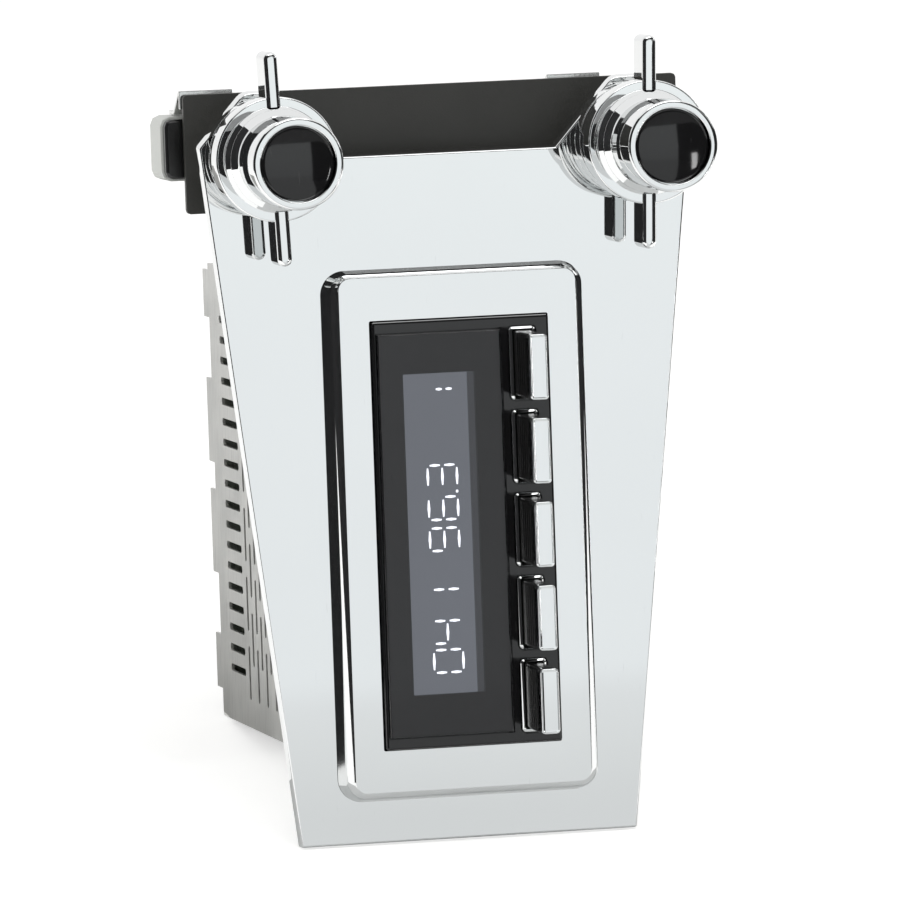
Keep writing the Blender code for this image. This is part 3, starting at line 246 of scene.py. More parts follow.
def mirrors_only(sheet, name, look):
    """Names a sheet, gives it a dull colour or a material, and shows it to mirrors alone."""
    sheet.name = name
    if isinstance(look, tuple):
        colour = look
        look, tree, shader = new_material(name)
        feed(tree, shader, {"Base Color": colour, "Roughness": 0.9})
    sheet.data.materials.append(look)
    for ray_kind in ("camera", "diffuse", "transmission", "shadow"):
        setattr(sheet, "visible_" + ray_kind, False)


def curved_sheet(name, look, bearings, heights, distances=(CARD_DISTANCE, CARD_DISTANCE)):
    """A sheet bent round the radio, between two bearings, two heights and two distances."""
    bpy.ops.mesh.primitive_plane_add(size=1)
    sheet = bpy.context.object
    bpy.ops.object.mode_set(mode="EDIT")
    bpy.ops.mesh.subdivide(number_cuts=CARD_STEPS)
    bpy.ops.object.mode_set(mode="OBJECT")
    for vertex in sheet.data.vertices:
        aside = vertex.co.x + 0.5
        climb = vertex.co.y + 0.5
        bearing = math.radians(bearings[0] + aside * (bearings[1] - bearings[0]))
        height = heights[0] + climb * (heights[1] - heights[0])
        distance = distances[0] + climb * (distances[1] - distances[0])
        vertex.co = (math.sin(bearing) * distance, -math.cos(bearing) * distance, height)
    mirrors_only(sheet, name, look)


def lying(layer):
    """Both heights of a sheet that lies on the floor, on top of those of lower layers."""
    return layer * SHEET_LIFT, layer * SHEET_LIFT


curved_sheet("card_left", BLACK, (-102, WINDOW_START), (0, 1.3))
curved_sheet("card_right", BLACK, (27, 100), (0, WINDOW_TOP))
curved_sheet("card_right_far", BLACK, (WINDOW_END, 35), (0, FAR_TOP), (FAR_DISTANCE, FAR_DISTANCE))
curved_sheet("card_right_floor", BLACK, (WINDOW_END, 35), lying(5), (0.6, FAR_DISTANCE))
curved_sheet("card_above", DIM_GREY, (WINDOW_START, 82), (WINDOW_TOP, STRIP_TOP))
curved_sheet("card_overhead", BLACK, (WINDOW_START, 82), (STRIP_TOP, 1.35))
# Painted shadow: the lower edges of the plate mirror this grey sheet instead of the radio's shadow on the
# floor.
curved_sheet("card_foot_shadow", FOOT_SHADOW_GREY, (-75, 75), lying(4), (0.06, 0.15))
print("Cards stand round the radio at", CARD_DISTANCE, "m and", FAR_DISTANCE, "m")

# %% [markdown]
# The side of the chassis mirrors the floor behind the radio, to its left, where the real floor lay in the
# radio's shadow. A grey sheet lies there as painted shadow and dims what the steel shows. It widens with the
# distance, because the mirrored view does.

# %% Card behind
BEHIND_SHADOW_GREY = (0.36, 0.36, 0.35)
BEHIND_NEAR, BEHIND_FAR = 0.03, 0.78
BEHIND_RIGHT = 0.02
BEHIND_WIDTH = 0.065
BEHIND_SPREAD = 0.231

# Painted shadow: a grey sheet, seen by mirrors only, in place of the radio's shadow on the floor behind it.
bpy.ops.mesh.primitive_plane_add(size=1)
behind = bpy.context.object
for vertex in behind.data.vertices:
    depth = BEHIND_FAR if vertex.co.y > 0 else BEHIND_NEAR
    width = 0 if vertex.co.x > 0 else BEHIND_WIDTH + BEHIND_SPREAD * depth
    vertex.co = (BEHIND_RIGHT - width, depth, 10 * SHEET_LIFT)
mirrors_only(behind, "card_behind_shadow", BEHIND_SHADOW_GREY)
print("The card behind reaches", BEHIND_FAR, "m back")

# %% [markdown]
# The pale window is a backdrop farther off, behind the camera. It is brightest above and has a soft horizon
# low down, which the lowest part of the plate mirrors as a greyer band. Paper of the lowest tone runs from
# the radio's foot to the backdrop. A narrow bright strip on the right makes the small highlights.

# %% Backdrop
BACKDROP_DISTANCE = 3.2
TONES_TOP = 0.5
TONES = [(0.0, (0.795, 0.815, 0.82)), (0.085, (0.86, 0.885, 0.89)), (0.12, (0.88, 0.905, 0.915)),
         (0.15, (0.96, 0.995, 1.01)), (0.5, (0.985, 1.02, 1.035)), (1.0, (1.04, 1.085, 1.09))]
STRIP_GLOW = 9.0


def glowing(name):
    """A material that only gives light, with its tree and its emission node."""
    material, tree, shader = new_material(name)
    tree.nodes.remove(shader)
    light = add(tree, "Emission")
    feed(tree, tree.nodes["Material Output"], {"Surface": light.outputs[0]})
    return material, tree, light


paper, tree, light = glowing("paper")
spot = add(tree, "SeparateXYZ", {0: add(tree, "TexCoord").outputs["Object"]})
climb = add(tree, "MapRange", {"Value": spot.outputs["Z"], "From Max": TONES_TOP})
ramp = add(tree, "ValToRGB", {0: climb.outputs["Result"]})
for index, (at, tone) in enumerate(TONES):
    stop = ramp.color_ramp.elements[index] if index < 2 else ramp.color_ramp.elements.new(at)
    stop.position = at
    stop.color = (*tone, 1)
feed(tree, light, {"Color": ramp.outputs["Color"]})
curved_sheet("backdrop", paper, (-12, 24), (0, 1.2), (BACKDROP_DISTANCE, BACKDROP_DISTANCE))
curved_sheet("runner", paper, (WINDOW_START, 24), lying(3), (0.15, BACKDROP_DISTANCE))

bright, tree, light = glowing("strip_light")
feed(tree, light, {"Strength": STRIP_GLOW})
curved_sheet("strip_light", bright, (24, 26.5), (0.06, 0.17), (0.95, 0.95))
print("The backdrop stands at", BACKDROP_DISTANCE, "m")

# %% [markdown]
# The lamps are soft boxes that lift the ambient light to a plain level, so that a colour renders about as it
# is written. The big one hangs in front and above, a smaller one fills the left side where the chassis shows,
# and a weak one the right side. Bearings are in degrees, sizes in metres and powers in watts.

# %% Lamps
LAMP_AIM = Vector((0, 0, 0.1))


def soft_box(name, bearing, height, distance, width, tall, power):
    """A rectangular lamp that looks at the middle of the radio."""
    lamp = bpy.data.lights.new(name, "AREA")
    lamp.shape = "RECTANGLE"
    lamp.size = width
    lamp.size_y = tall
    lamp.energy = power
    box = bpy.data.objects.new(name, lamp)
    bpy.context.scene.collection.objects.link(box)
    angle = math.radians(bearing)
    box.location = (math.sin(angle) * distance, -math.cos(angle) * distance, height)
    box.rotation_euler = (LAMP_AIM - box.location).to_track_quat("-Z", "Y").to_euler()


soft_box("box_above", 10, 1.5, 0.9, 1.2, 0.9, 10)
soft_box("box_left", -75, 0.75, 1.5, 0.7, 1.0, 9)
soft_box("box_right", 80, 0.6, 1.6, 0.35, 0.9, 5)
print("Placed", len([one for one in bpy.data.lights if one.type == "AREA"]), "soft boxes")

# %% [markdown]
# Finishes are built from a few effects that real surfaces share: a slow drift of tone, hairline marks, the
# grain of a moulding. Each effect is a node group with its own sizes, made once and placed in every material
# that needs it. A group only gives out masks and heights; the shader stays in the material.

# %% Effect: drift of tone


def effect(name, inputs, outputs):
    """An empty node group with number inputs and outputs: the group, what it is given and its result node."""
    group = bpy.data.node_groups.new(name, "ShaderNodeTree")
    group.interface.new_socket("Vector", in_out="INPUT", socket_type="NodeSocketVector")
    for label, value in inputs.items():
        socket = group.interface.new_socket(label, in_out="INPUT", socket_type="NodeSocketFloat")
        socket.default_value = value
    for label in outputs:
        group.interface.new_socket(label, in_out="OUTPUT", socket_type="NodeSocketFloat")
    return group, group.nodes.new("NodeGroupInput").outputs, group.nodes.new("NodeGroupOutput")


def noise(group, vector, scale, detail, roughness=0.5):
    """The tone of a noise pattern."""
    inputs = {"Vector": vector, "Scale": scale, "Detail": detail, "Roughness": roughness}
    return add(group, "TexNoise", inputs).outputs[0]


MIDDLE_TONE = 0.5
drift, given, result = effect("drift_of_tone", {"Scale": 20.0, "Contrast": 1.0}, ["Tone"])
clouds = noise(drift, given["Vector"], given["Scale"], 4.0, 0.6)
centred = calculate(drift, "SUBTRACT", clouds, MIDDLE_TONE)
stretched = calculate(drift, "MULTIPLY", centred, given["Contrast"])
feed(drift, result, {"Tone": calculate(drift, "ADD", stretched, MIDDLE_TONE, clamp=True)})
print("Effect drift_of_tone has", len(drift.nodes), "nodes")

# %% [markdown]
# Handled metal and plastic carry hairline marks: short, thin, nearly straight. A noise that is squeezed along
# one way and cut off high leaves just such lines. Rolled sheet has the same lines, long and dense.

# %% Effect: hairlines
LINE_CONTRAST = 12.0
LINE_SIZES = {"Fine": 900.0, "Along": 30.0, "Cut": 0.62}
hairlines, given, result = effect("hairlines", LINE_SIZES, ["Mask", "Height"])
ways = add(hairlines, "CombineXYZ", {"X": given["Fine"], "Y": given["Fine"], "Z": given["Along"]})
squeezed = add(hairlines, "VectorMath", {0: given["Vector"], 1: ways.outputs[0]}, operation="MULTIPLY")
threads = noise(hairlines, squeezed.outputs[0], 1.0, 2.0)
above = calculate(hairlines, "SUBTRACT", threads, given["Cut"])
mask = calculate(hairlines, "MULTIPLY", above, LINE_CONTRAST, clamp=True)
feed(hairlines, result, {"Mask": mask, "Height": threads})
print("Effect hairlines has", len(hairlines.nodes), "nodes")

# %% [markdown]
# A moulded or powder-coated skin has a grain of tiny rounded bumps. Cells of a Voronoi pattern, softened by
# their distance, give the bumps, and a finer noise breaks them up.

# %% Effect: grain
SPECKLE_FINENESS = 2.0
SPECKLE_SHARE = 0.5
grain, given, result = effect("grain", {"Scale": 2500.0}, ["Height"])
cells = add(grain, "TexVoronoi", {"Vector": given["Vector"], "Scale": given["Scale"]}, feature="SMOOTH_F1")
finer = calculate(grain, "MULTIPLY", given["Scale"], SPECKLE_FINENESS)
speckle = noise(grain, given["Vector"], finer, 2.0)
weaker = calculate(grain, "MULTIPLY", speckle, SPECKLE_SHARE)
feed(grain, result, {"Height": calculate(grain, "ADD", cells.outputs["Distance"], weaker)})
print("Effect grain has", len(grain.nodes), "nodes")

# %% [markdown]
# Dust settles on what faces up and stays in patches. Its mask needs only the surface's direction and a noise.

# %% Effect: dust
dust, given, result = effect("dust", {"Scale": 60.0, "Amount": 0.3}, ["Mask"])
normal = add(dust, "NewGeometry").outputs["Normal"]
facing_up = calculate(dust, "MAXIMUM", add(dust, "SeparateXYZ", {0: normal}).outputs["Z"], 0.0)
patches = noise(dust, given["Vector"], given["Scale"], 6.0)
settled = calculate(dust, "MULTIPLY", facing_up, patches)
feed(dust, result, {"Mask": calculate(dust, "MULTIPLY", settled, given["Amount"], clamp=True)})
print("Effect dust has", len(dust.nodes), "nodes")

# %% [markdown]
# One recipe serves most finishes. A colour drifts towards a second colour, hairlines and dust add a third,
# the roughness drifts between two values, and the grain or the lines raise the surface a little. What is the
# same all over, such as the metal value, is set on the shader itself.

# %% Recipe for a finish
DUST_GREY = (0.45, 0.44, 0.42)
WAVE_SCALE = 22.0
BUMP_REACH = 0.1 * MM
MIX_FIRST, MIX_SECOND, MIX_RESULT = 6, 7, 2
finishes = {}


def place_effect(tree, group, vector, **sizes):
    """Puts an effect into a material, with its own sizes, and gives its results."""
    return add(tree, "Group", {"Vector": vector, **sizes}, node_tree=group).outputs


def mix_colour(tree, share, first, second):
    """A mix of two colours, each a socket or a plain colour. The sockets for colours are known by place."""
    inputs = {0: share, MIX_FIRST: first, MIX_SECOND: second}
    return add(tree, "Mix", inputs, data_type="RGBA").outputs[MIX_RESULT]


def finish(name, colours, rough, metal, drift_scale=25.0, contrast=1.5, lines=None, line_colour=None,
           line_height=0.0, grain_scale=0.0, grain_height=0.0, wave_height=0.0, dust_amount=0.0, more={}):
    """A material from the recipe, kept under its name. What is in more goes to the shader as it is."""
    material, tree, shader = new_material(name)
    where = add(tree, "TexCoord").outputs["Object"]
    tone = place_effect(tree, drift, where, Scale=drift_scale, Contrast=contrast)["Tone"]
    colour = mix_colour(tree, tone, *colours)
    height, strength = None, 0.0
    if lines:
        marks = place_effect(tree, hairlines, where, Fine=lines[0], Along=lines[1], Cut=lines[2])
        if line_colour:
            colour = mix_colour(tree, marks["Mask"], colour, line_colour)
        if line_height:
            height, strength = marks["Height"], line_height
    if grain_height:
        height, strength = place_effect(tree, grain, where, Scale=grain_scale)["Height"], grain_height
    if wave_height:
        waves = place_effect(tree, drift, where, Scale=WAVE_SCALE, Contrast=1.0)
        height, strength = waves["Tone"], wave_height
    if dust_amount:
        dusty = place_effect(tree, dust, where, Amount=dust_amount)["Mask"]
        colour = mix_colour(tree, dusty, colour, DUST_GREY)
    spread = add(tree, "MapRange", {"Value": tone, "To Min": rough[0], "To Max": rough[1]})
    feed(tree, shader, {"Base Color": colour, "Roughness": spread.outputs["Result"], "Metallic": metal,
                        "IOR": 1.5, **more})
    if height:
        bump = add(tree, "Bump", {"Strength": strength, "Distance": BUMP_REACH, "Height": height})
        feed(tree, shader, {"Normal": bump.outputs[0]})
    finishes[name] = material
    return tree, shader


print("The recipe draws on", len(bpy.data.node_groups), "effects")

# %% [markdown]
# The finishes of the radio. The chrome is a cool white mirror. The sheet of the chassis is zinc-plated steel,
# dull and slightly warm, with rolling lines. The support plate is powder coated, the nose and inlays are
# polished black plastic, and the cans of the controls are a pale grey.

# %% Finishes
finish("chrome", [(0.775, 0.785, 0.785), (0.80, 0.81, 0.81)], (0.015, 0.035), 1.0,
       drift_scale=18, lines=(1500, 60, 0.72), line_colour=(0.74, 0.75, 0.75), wave_height=0.03)
finish("gloss_black", [(0.005, 0.005, 0.0055), (0.008, 0.008, 0.0085)], (0.04, 0.08), 0.0,
       lines=(1200, 80, 0.70), line_colour=(0.02, 0.02, 0.02), dust_amount=0.02, more={"IOR": 1.52})
finish("matte_black", [(0.020, 0.020, 0.018), (0.028, 0.028, 0.025)], (0.36, 0.48), 0.0,
       grain_scale=2600, grain_height=0.25, dust_amount=0.05)
finish("stem_black", [(0.005, 0.005, 0.005), (0.008, 0.008, 0.008)], (0.14, 0.24), 0.0,
       grain_scale=4000, grain_height=0.05)
finish("sheet_steel", [(0.56, 0.565, 0.55), (0.63, 0.63, 0.61)], (0.32, 0.46), 0.85,
       drift_scale=60, contrast=2.2, lines=(2200, 90, 0.55), line_colour=(0.50, 0.50, 0.49),
       line_height=0.10, dust_amount=0.08)
finish("bright_steel", [(0.66, 0.67, 0.66), (0.74, 0.74, 0.73)], (0.14, 0.26), 1.0,
       lines=(1800, 120, 0.60), line_colour=(0.58, 0.58, 0.57), line_height=0.05)
finish("aluminium", [(0.50, 0.51, 0.52), (0.58, 0.59, 0.60)], (0.34, 0.46), 1.0,
       lines=(2600, 60, 0.52), line_colour=(0.45, 0.46, 0.47), line_height=0.15)
finish("grey_can", [(0.47, 0.485, 0.46), (0.53, 0.54, 0.52)], (0.36, 0.48), 0.0,
       drift_scale=90, grain_scale=3200, grain_height=0.08, dust_amount=0.05)
print("Made", len(finishes), "finishes so far")

# %% [markdown]
# A circuit board is green lacquer over copper: the tracks show as slightly lighter bands under the lacquer.
# A brick pattern reads as tracks at this size. It is turned upright, as the boards behind the knobs are.

# %% Finish of the boards
LACQUER = [(0.055, 0.09, 0.045), (0.04, 0.07, 0.035)]
TRACK_GREEN = (0.075, 0.11, 0.06)
TRACK_ROWS = 240
tree, shader = finish("board_green", LACQUER, (0.25, 0.38), 0.0, drift_scale=400, contrast=4.0,
                      grain_scale=1500, grain_height=0.05, more={"Coat Weight": 0.3})
where = add(tree, "TexCoord").outputs["Object"]
turned_in = add(tree, "Mapping", {"Vector": where, "Rotation": (math.pi / 2, 0, 0)})
tracks = add(tree, "TexBrick", {
    "Vector": turned_in.outputs[0], "Scale": TRACK_ROWS, "Mortar Size": 0.03,
    "Color1": LACQUER[0], "Color2": LACQUER[1], "Mortar": TRACK_GREEN,
}, offset=0.3, squash=2.2)
feed(tree, shader, {"Base Color": tracks.outputs["Color"]})
print("The boards have", TRACK_ROWS, "rows of tracks to the metre")

# %% [markdown]
# The lens is smoked plastic: clear, but so dark that the nose behind it looks black. It is glass to the
# shader, with a grey tint. The display behind it gives its own light, because a real one is lit from behind.
# A darker strip runs along one side of it.

# %% Finish of the lens and of the display
STRIP_START = 4.0 * MM
STRIP_GREY = (0.12, 0.128, 0.14)
LIT_GREY = [(0.43, 0.465, 0.51), (0.48, 0.515, 0.575)]
LIT_WHITE = (0.93, 0.96, 1.0)
finish("smoked_lens", [(0.25, 0.25, 0.265), (0.27, 0.27, 0.285)], (0.01, 0.02), 0.0,
       more={"IOR": 1.46, "Transmission Weight": 1.0})
finish("digit_white", [(0.5, 0.5, 0.5), (0.6, 0.6, 0.6)], (0.4, 0.5), 0.0,
       more={"Emission Color": LIT_WHITE, "Emission Strength": 5.2})

tree, shader = finish("display_grey", [(0.05, 0.05, 0.055), (0.06, 0.06, 0.065)], (0.3, 0.4), 0.0,
                      more={"Emission Strength": 1.0})
where = add(tree, "TexCoord").outputs["Object"]
spot = add(tree, "SeparateXYZ", {0: where})
strip = calculate(tree, "GREATER_THAN", spot.outputs["X"], STRIP_START)
glow_drift = place_effect(tree, drift, where, Scale=12.0, Contrast=1.2)["Tone"]
lit = mix_colour(tree, glow_drift, *LIT_GREY)
feed(tree, shader, {"Emission Color": mix_colour(tree, strip, lit, STRIP_GREY)})
print("There are", len(finishes), "finishes in all")

# %% [markdown]
# First every solid gets the better finish of its own slot. The ones that are modelled again below are hidden
# later by the piece that stands for them.

# %% Dress the solids
slot_of = {name: node.data.materials[0].name for name, node in nodes.items()}
body_of = {name: node["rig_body"] for name, node in nodes.items()}
for name, node in nodes.items():
    node.data.materials[0] = finishes[slot_of[name]]
print("Dressed", len(nodes), "solids")

# %% [markdown]
# A few helpers do what a modeller does by hand: pick parts of a mesh by where they are, add a modifier and
# apply it, and settle a finished piece on its body. A piece is drawn in the plate's own frame and leaned back
# with the radio at the very end, in its mesh, so that its object stays at the origin.

# %% Helpers for modelling by hand
MERGE = 0.002 * MM
SMOOTH_ANGLE = math.radians(32)


def take(piece):
    """Makes one object the only one selected and the active one."""
    if bpy.context.object and bpy.context.object.mode != "OBJECT":
        bpy.ops.object.mode_set(mode="OBJECT")
    bpy.ops.object.select_all(action="DESELECT")
    piece.select_set(True)
    bpy.context.view_layer.objects.active = piece


def open_mesh(piece):
    """Opens a mesh for editing, with all of it selected."""
    take(piece)
    bpy.ops.object.mode_set(mode="EDIT")
    bpy.ops.mesh.select_all(action="SELECT")


def close_mesh():
    bpy.ops.object.mode_set(mode="OBJECT")


def pick(piece, kind, test, ends=None):
    """Selects the points, edges or faces whose every corner passes a test, and says how many they are.

    Edges can be held to a second test, which looks at both of their ends together."""
    bpy.ops.mesh.select_mode(type=kind)
    bpy.ops.mesh.select_all(action="DESELECT")
    mesh = bmesh.from_edit_mesh(piece.data)
    picked = 0
    for part in {"VERT": mesh.verts, "EDGE": mesh.edges, "FACE": mesh.faces}[kind]:
        corners = [part.co] if kind == "VERT" else [corner.co for corner in part.verts]
        if all(test(corner) for corner in corners) and (ends is None or ends(*corners)):
            part.select_set(True)
            picked += 1
    bmesh.update_edit_mesh(piece.data)
    return picked


def at_depth(depth):
    """A test for corners that lie at one depth."""
    return lambda corner: abs(corner.y - depth) < MERGE


def apply(piece, kind, **settings):
    """Adds a modifier with these settings and applies it at once."""
    take(piece)
    step = piece.modifiers.new(kind.lower(), kind)
    for label, value in settings.items():
        setattr(step, label, value)
    bpy.ops.object.modifier_apply(modifier=step.name)


def even_normals(piece):
    """Smooths what is round and keeps flat faces flat."""
    take(piece)
    bpy.ops.object.shade_smooth_by_angle(angle=SMOOTH_ANGLE)
    apply(piece, "WEIGHTED_NORMAL", keep_sharp=True, weight=80)


def clean(piece):
    """Merges points that coincide and turns every face outward."""
    open_mesh(piece)
    bpy.ops.mesh.remove_doubles(threshold=MERGE)
    bpy.ops.mesh.normals_make_consistent(inside=False)
    close_mesh()


def settle(piece, node, name=None, look=None, move=(0, 0, 0), stands_in=True):
    """Cleans a finished piece, leans it back with the radio and hangs it where its solid hangs."""
    name, body, slot_name = name or node + "_piece", body_of[node], slot_of[node]
    clean(piece)
    even_normals(piece)
    piece.data.transform(stance @ Matrix.Translation(move))
    piece.name = name
    piece.data.name = name
    piece.data.materials.clear()
    piece.data.materials.append(finishes[look or slot_name])
    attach(piece, body)
    if stands_in:
        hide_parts(node)
    print(name, "has", len(piece.data.polygons), "faces")


def copy_of(piece):
    """A copy with its own mesh."""
    take(piece)
    bpy.ops.object.duplicate()
    return bpy.context.object


def joined(pieces):
    """Joins several objects into the first of them."""
    bpy.ops.object.select_all(action="DESELECT")
    for piece in pieces:
        piece.select_set(True)
    bpy.context.view_layer.objects.active = pieces[0]
    bpy.ops.object.join()
    return bpy.context.object


def discard(piece):
    bpy.data.objects.remove(piece)


def combine(piece, operation, tool):
    """Joins a tool to a piece or cuts it out, with a Boolean, and throws the tool away."""
    apply(piece, "BOOLEAN", operation=operation, solver="EXACT", object=tool)
    discard(tool)


def soften(piece, width, segments=2, angle=40, miter="MITER_ARC"):
    """Bevels the edges of a piece that are sharper than an angle."""
    apply(piece, "BEVEL", width=width, segments=segments, limit_method="ANGLE",
          angle_limit=math.radians(angle), miter_outer=miter)


print("Points closer than", round(MERGE / MM, 3), "mm are merged in every piece")


# %% [markdown]
# Many pieces are right but for one thing: their edges are knife sharp, and no real edge is. Such a piece is a
# copy of its solid. The loose triangles are merged, flat areas are dissolved back into single faces, and a
# narrow bevel rounds the edges so that they catch the light.

# %% Soft-edged copies of solids
FLAT = math.radians(1)


def merged_copy(node):
    """A copy of a solid in the plate's own frame, with its triangles merged into whole faces."""
    piece = bpy.data.objects.new(node + "_soft", nodes[node].data.copy())
    bpy.context.scene.collection.objects.link(piece)
    piece.data.transform(to_plate)
    open_mesh(piece)
    bpy.ops.mesh.customdata_custom_splitnormals_clear()
    bpy.ops.mesh.remove_doubles(threshold=MERGE)
    bpy.ops.mesh.dissolve_limited(angle_limit=FLAT)
    close_mesh()
    return piece


SOFT_EDGES = {
    "support_plate": 0.20 * MM,
    "left_control_housing": 0.35 * MM, "right_control_housing": 0.35 * MM,
    "left_control_can": 0.5 * MM, "right_control_can": 0.5 * MM,
    "left_control_board": 0.08 * MM, "right_control_board": 0.08 * MM,
    "left_control_bracket": 0.2 * MM, "right_control_bracket": 0.2 * MM,
    "heat_sink": 0.15 * MM, "power_socket": 0.25 * MM,
    "display_lens": 0.12 * MM,
}
for node, width in SOFT_EDGES.items():
    piece = merged_copy(node)
    soften(piece, width)
    look = "stem_black" if node.endswith("control_housing") else None
    settle(piece, node, look=look)

# %% [markdown]
# The knob stacks are turned parts. On a lathe such a part is one outline, spun. Here a circle is drawn out
# along the axis ring by ring, and each ring is resized to the outline's radius. The corners of the outline
# are rounded first, because chrome shows every corner as a line of light.

# %% Turned pieces
SIDES = 112
ROUND_STEPS = 5
UPRIGHT = (math.pi / 2, 0, 0)


def rounded_section(corners, steps=ROUND_STEPS):
    """An outline of radii and depths whose corners, each with its own rounding, are turned into arcs."""
    points = []
    for index, (radius, depth, rounding) in enumerate(corners):
        corner = Vector((radius, depth))
        if rounding == 0 or index in (0, len(corners) - 1):
            points.append(corner)
            continue
        before = (Vector(corners[index - 1][:2]) - corner).normalized()
        after = (Vector(corners[index + 1][:2]) - corner).normalized()
        half = before.angle(after) / 2
        centre = corner + (before + after).normalized() * (rounding / math.sin(half))
        reach = rounding / math.tan(half)
        first = corner + before * reach - centre
        last = corner + after * reach - centre
        start = math.atan2(first.y, first.x)
        sweep = (math.atan2(last.y, last.x) - start + math.pi) % math.tau - math.pi
        for step in range(steps + 1):
            angle = start + sweep * step / steps
            points.append(centre + Vector((math.cos(angle), math.sin(angle))) * rounding)
    return points


def turn(section, capped=False):
    """A circle drawn out ring by ring. A capped piece is closed at both ends."""
    radius, depth = section[0]
    bpy.ops.mesh.primitive_circle_add(vertices=SIDES, radius=radius, rotation=UPRIGHT, location=(0, depth, 0))
    piece = bpy.context.object
    bpy.ops.object.transform_apply()
    open_mesh(piece)
    if capped:
        bpy.ops.mesh.edge_face_add()
        bpy.ops.mesh.select_mode(type="EDGE")
    for next_radius, next_depth in section[1:]:
        bpy.ops.mesh.extrude_edges_move(TRANSFORM_OT_translate={"value": (0, next_depth - depth, 0)})
        narrowing = next_radius / radius
        bpy.ops.transform.resize(value=(narrowing, 1, narrowing), center_override=(0, next_depth, 0))
        radius, depth = next_radius, next_depth
    if capped:
        bpy.ops.mesh.edge_face_add()
    close_mesh()
    return piece


def settle_pair(piece, part, name=None):
    """Settles a copy of a turned piece on each stack."""
    for side, at in stacks.items():
        settle(copy_of(piece), f"{side}_{part}", f"{side}_{name or part}_piece", move=at)
    discard(piece)


stacks = {"left": (-KNOB_X, 0, KNOB_HEIGHT), "right": (KNOB_X, 0, KNOB_HEIGHT)}
print("Turned pieces get", SIDES, "sides and stand", round(2 * KNOB_X / MM, 1), "mm apart")

# %% [markdown]
# The collar is the drum that hides the nut. It is a plain turned cup with one groove near its foot. The
# groove is kept shallow, so that it draws one thin dark line round the drum.

# %% Collars
low, high = measure("left_collar")
COLLAR_RADIUS = (high.z - low.z) / 2
COLLAR_BACK, COLLAR_FRONT = high.y, low.y
COLLAR_BORE = 4.9 * MM
COLLAR_SEAT = 8.4 * MM
COLLAR_FLOOR = COLLAR_FRONT + 4 * MM
COLLAR_ROUND = 1.2 * MM
COLLAR_FOOT_ROUND = 0.3 * MM
GROOVE_DEPTH = 0.35 * MM
GROOVE_ROUND = 0.07 * MM
GROOVE_WIDTH = 1.2 * MM
GROOVE_BACK = COLLAR_BACK - 4.2 * MM
GROOVE_FRONT = GROOVE_BACK - GROOVE_WIDTH
collar_section = rounded_section([
    (COLLAR_BORE, COLLAR_FLOOR, 0),
    (COLLAR_BORE, COLLAR_FRONT, 0),
    (COLLAR_RADIUS, COLLAR_FRONT, COLLAR_ROUND),
    (COLLAR_RADIUS, GROOVE_FRONT, GROOVE_ROUND),
    (COLLAR_RADIUS - GROOVE_DEPTH, GROOVE_FRONT, GROOVE_ROUND),
    (COLLAR_RADIUS - GROOVE_DEPTH, GROOVE_BACK, GROOVE_ROUND),
    (COLLAR_RADIUS, GROOVE_BACK, GROOVE_ROUND),
    (COLLAR_RADIUS, COLLAR_BACK, COLLAR_FOOT_ROUND),
    (COLLAR_SEAT, COLLAR_BACK, 0),
    (COLLAR_SEAT, COLLAR_FLOOR, 0),
    (COLLAR_BORE, COLLAR_FLOOR, 0),
])
settle_pair(turn(collar_section), "collar")

# %% [markdown]
# The rear knob is a flat drum with a rolled edge and a raised face, and two wings that a thumb can push. A
# wing is drawn as a bar: a cube is stretched, its tip is rounded over to a half circle and its edges are
# bevelled. Both wings are joined to the drum with a Boolean, and a last one cuts back what would touch the
# collar. Nobody sets such a knob quite upright, so each is turned by about two degrees.

# %% Rear knobs
low, high = measure("left_rear_knob")
WING_REACH = (high.z - low.z) / 2
WING_FRONT, WING_BACK = -20.0 * MM, -10.5 * MM
KNOB_BACK, KNOB_FRONT, KNOB_FACE = -12.3 * MM, -19.3 * MM, low.y
KNOB_RADIUS = (high.x - low.x) / 2
FACE_RADIUS = 13.0 * MM
FACE_SLOPE = 1.1 * MM
KNOB_BORE = 3.4 * MM
KNOB_BACK_ROUND = 1.2 * MM
KNOB_FRONT_ROUND = 0.45 * MM
FACE_FOOT_ROUND = 0.2 * MM
FACE_ROUND = 0.3 * MM
rear_section = rounded_section([
    (KNOB_BORE, KNOB_BACK, 0),
    (KNOB_RADIUS, KNOB_BACK, KNOB_BACK_ROUND),
    (KNOB_RADIUS, KNOB_FRONT, KNOB_FRONT_ROUND),
    (FACE_RADIUS, KNOB_FRONT, FACE_FOOT_ROUND),
    (FACE_RADIUS - FACE_SLOPE, KNOB_FACE, FACE_ROUND),
    (KNOB_BORE, KNOB_FACE, 0),
    (KNOB_BORE, KNOB_BACK, 0),
])
WING_WIDTH = 3.6 * MM
WING_ROOT = 12.8 * MM
WING_TIP_ROUND = 0.98 * WING_WIDTH / 2
WING_FRONT_EDGE = 1.15 * MM
WING_BACK_EDGE = 0.8 * MM


def wing(way):
    """One wing as a bar with a half-round end and bevelled edges."""
    tall = WING_REACH - WING_ROOT
    bpy.ops.mesh.primitive_cube_add(size=1)
    bar = bpy.context.object
    bar.scale = (WING_WIDTH, WING_BACK - WING_FRONT, tall)
    bar.location = (0, (WING_FRONT + WING_BACK) / 2, way * (WING_ROOT + tall / 2))
    bpy.ops.object.transform_apply()
    open_mesh(bar)
    pick(bar, "EDGE", lambda corner: way * corner.z > WING_REACH - MERGE,
         lambda first, last: abs(first.x - last.x) < MERGE)
    bpy.ops.mesh.bevel(offset=WING_TIP_ROUND, segments=8)
    for depth, rounding in ((WING_FRONT, WING_FRONT_EDGE), (WING_BACK, WING_BACK_EDGE)):
        pick(bar, "EDGE", at_depth(depth),
             lambda first, last: max(way * first.z, way * last.z) > WING_ROOT + MERGE)
        bpy.ops.mesh.bevel(offset=rounding, segments=6)
    close_mesh()
    return bar


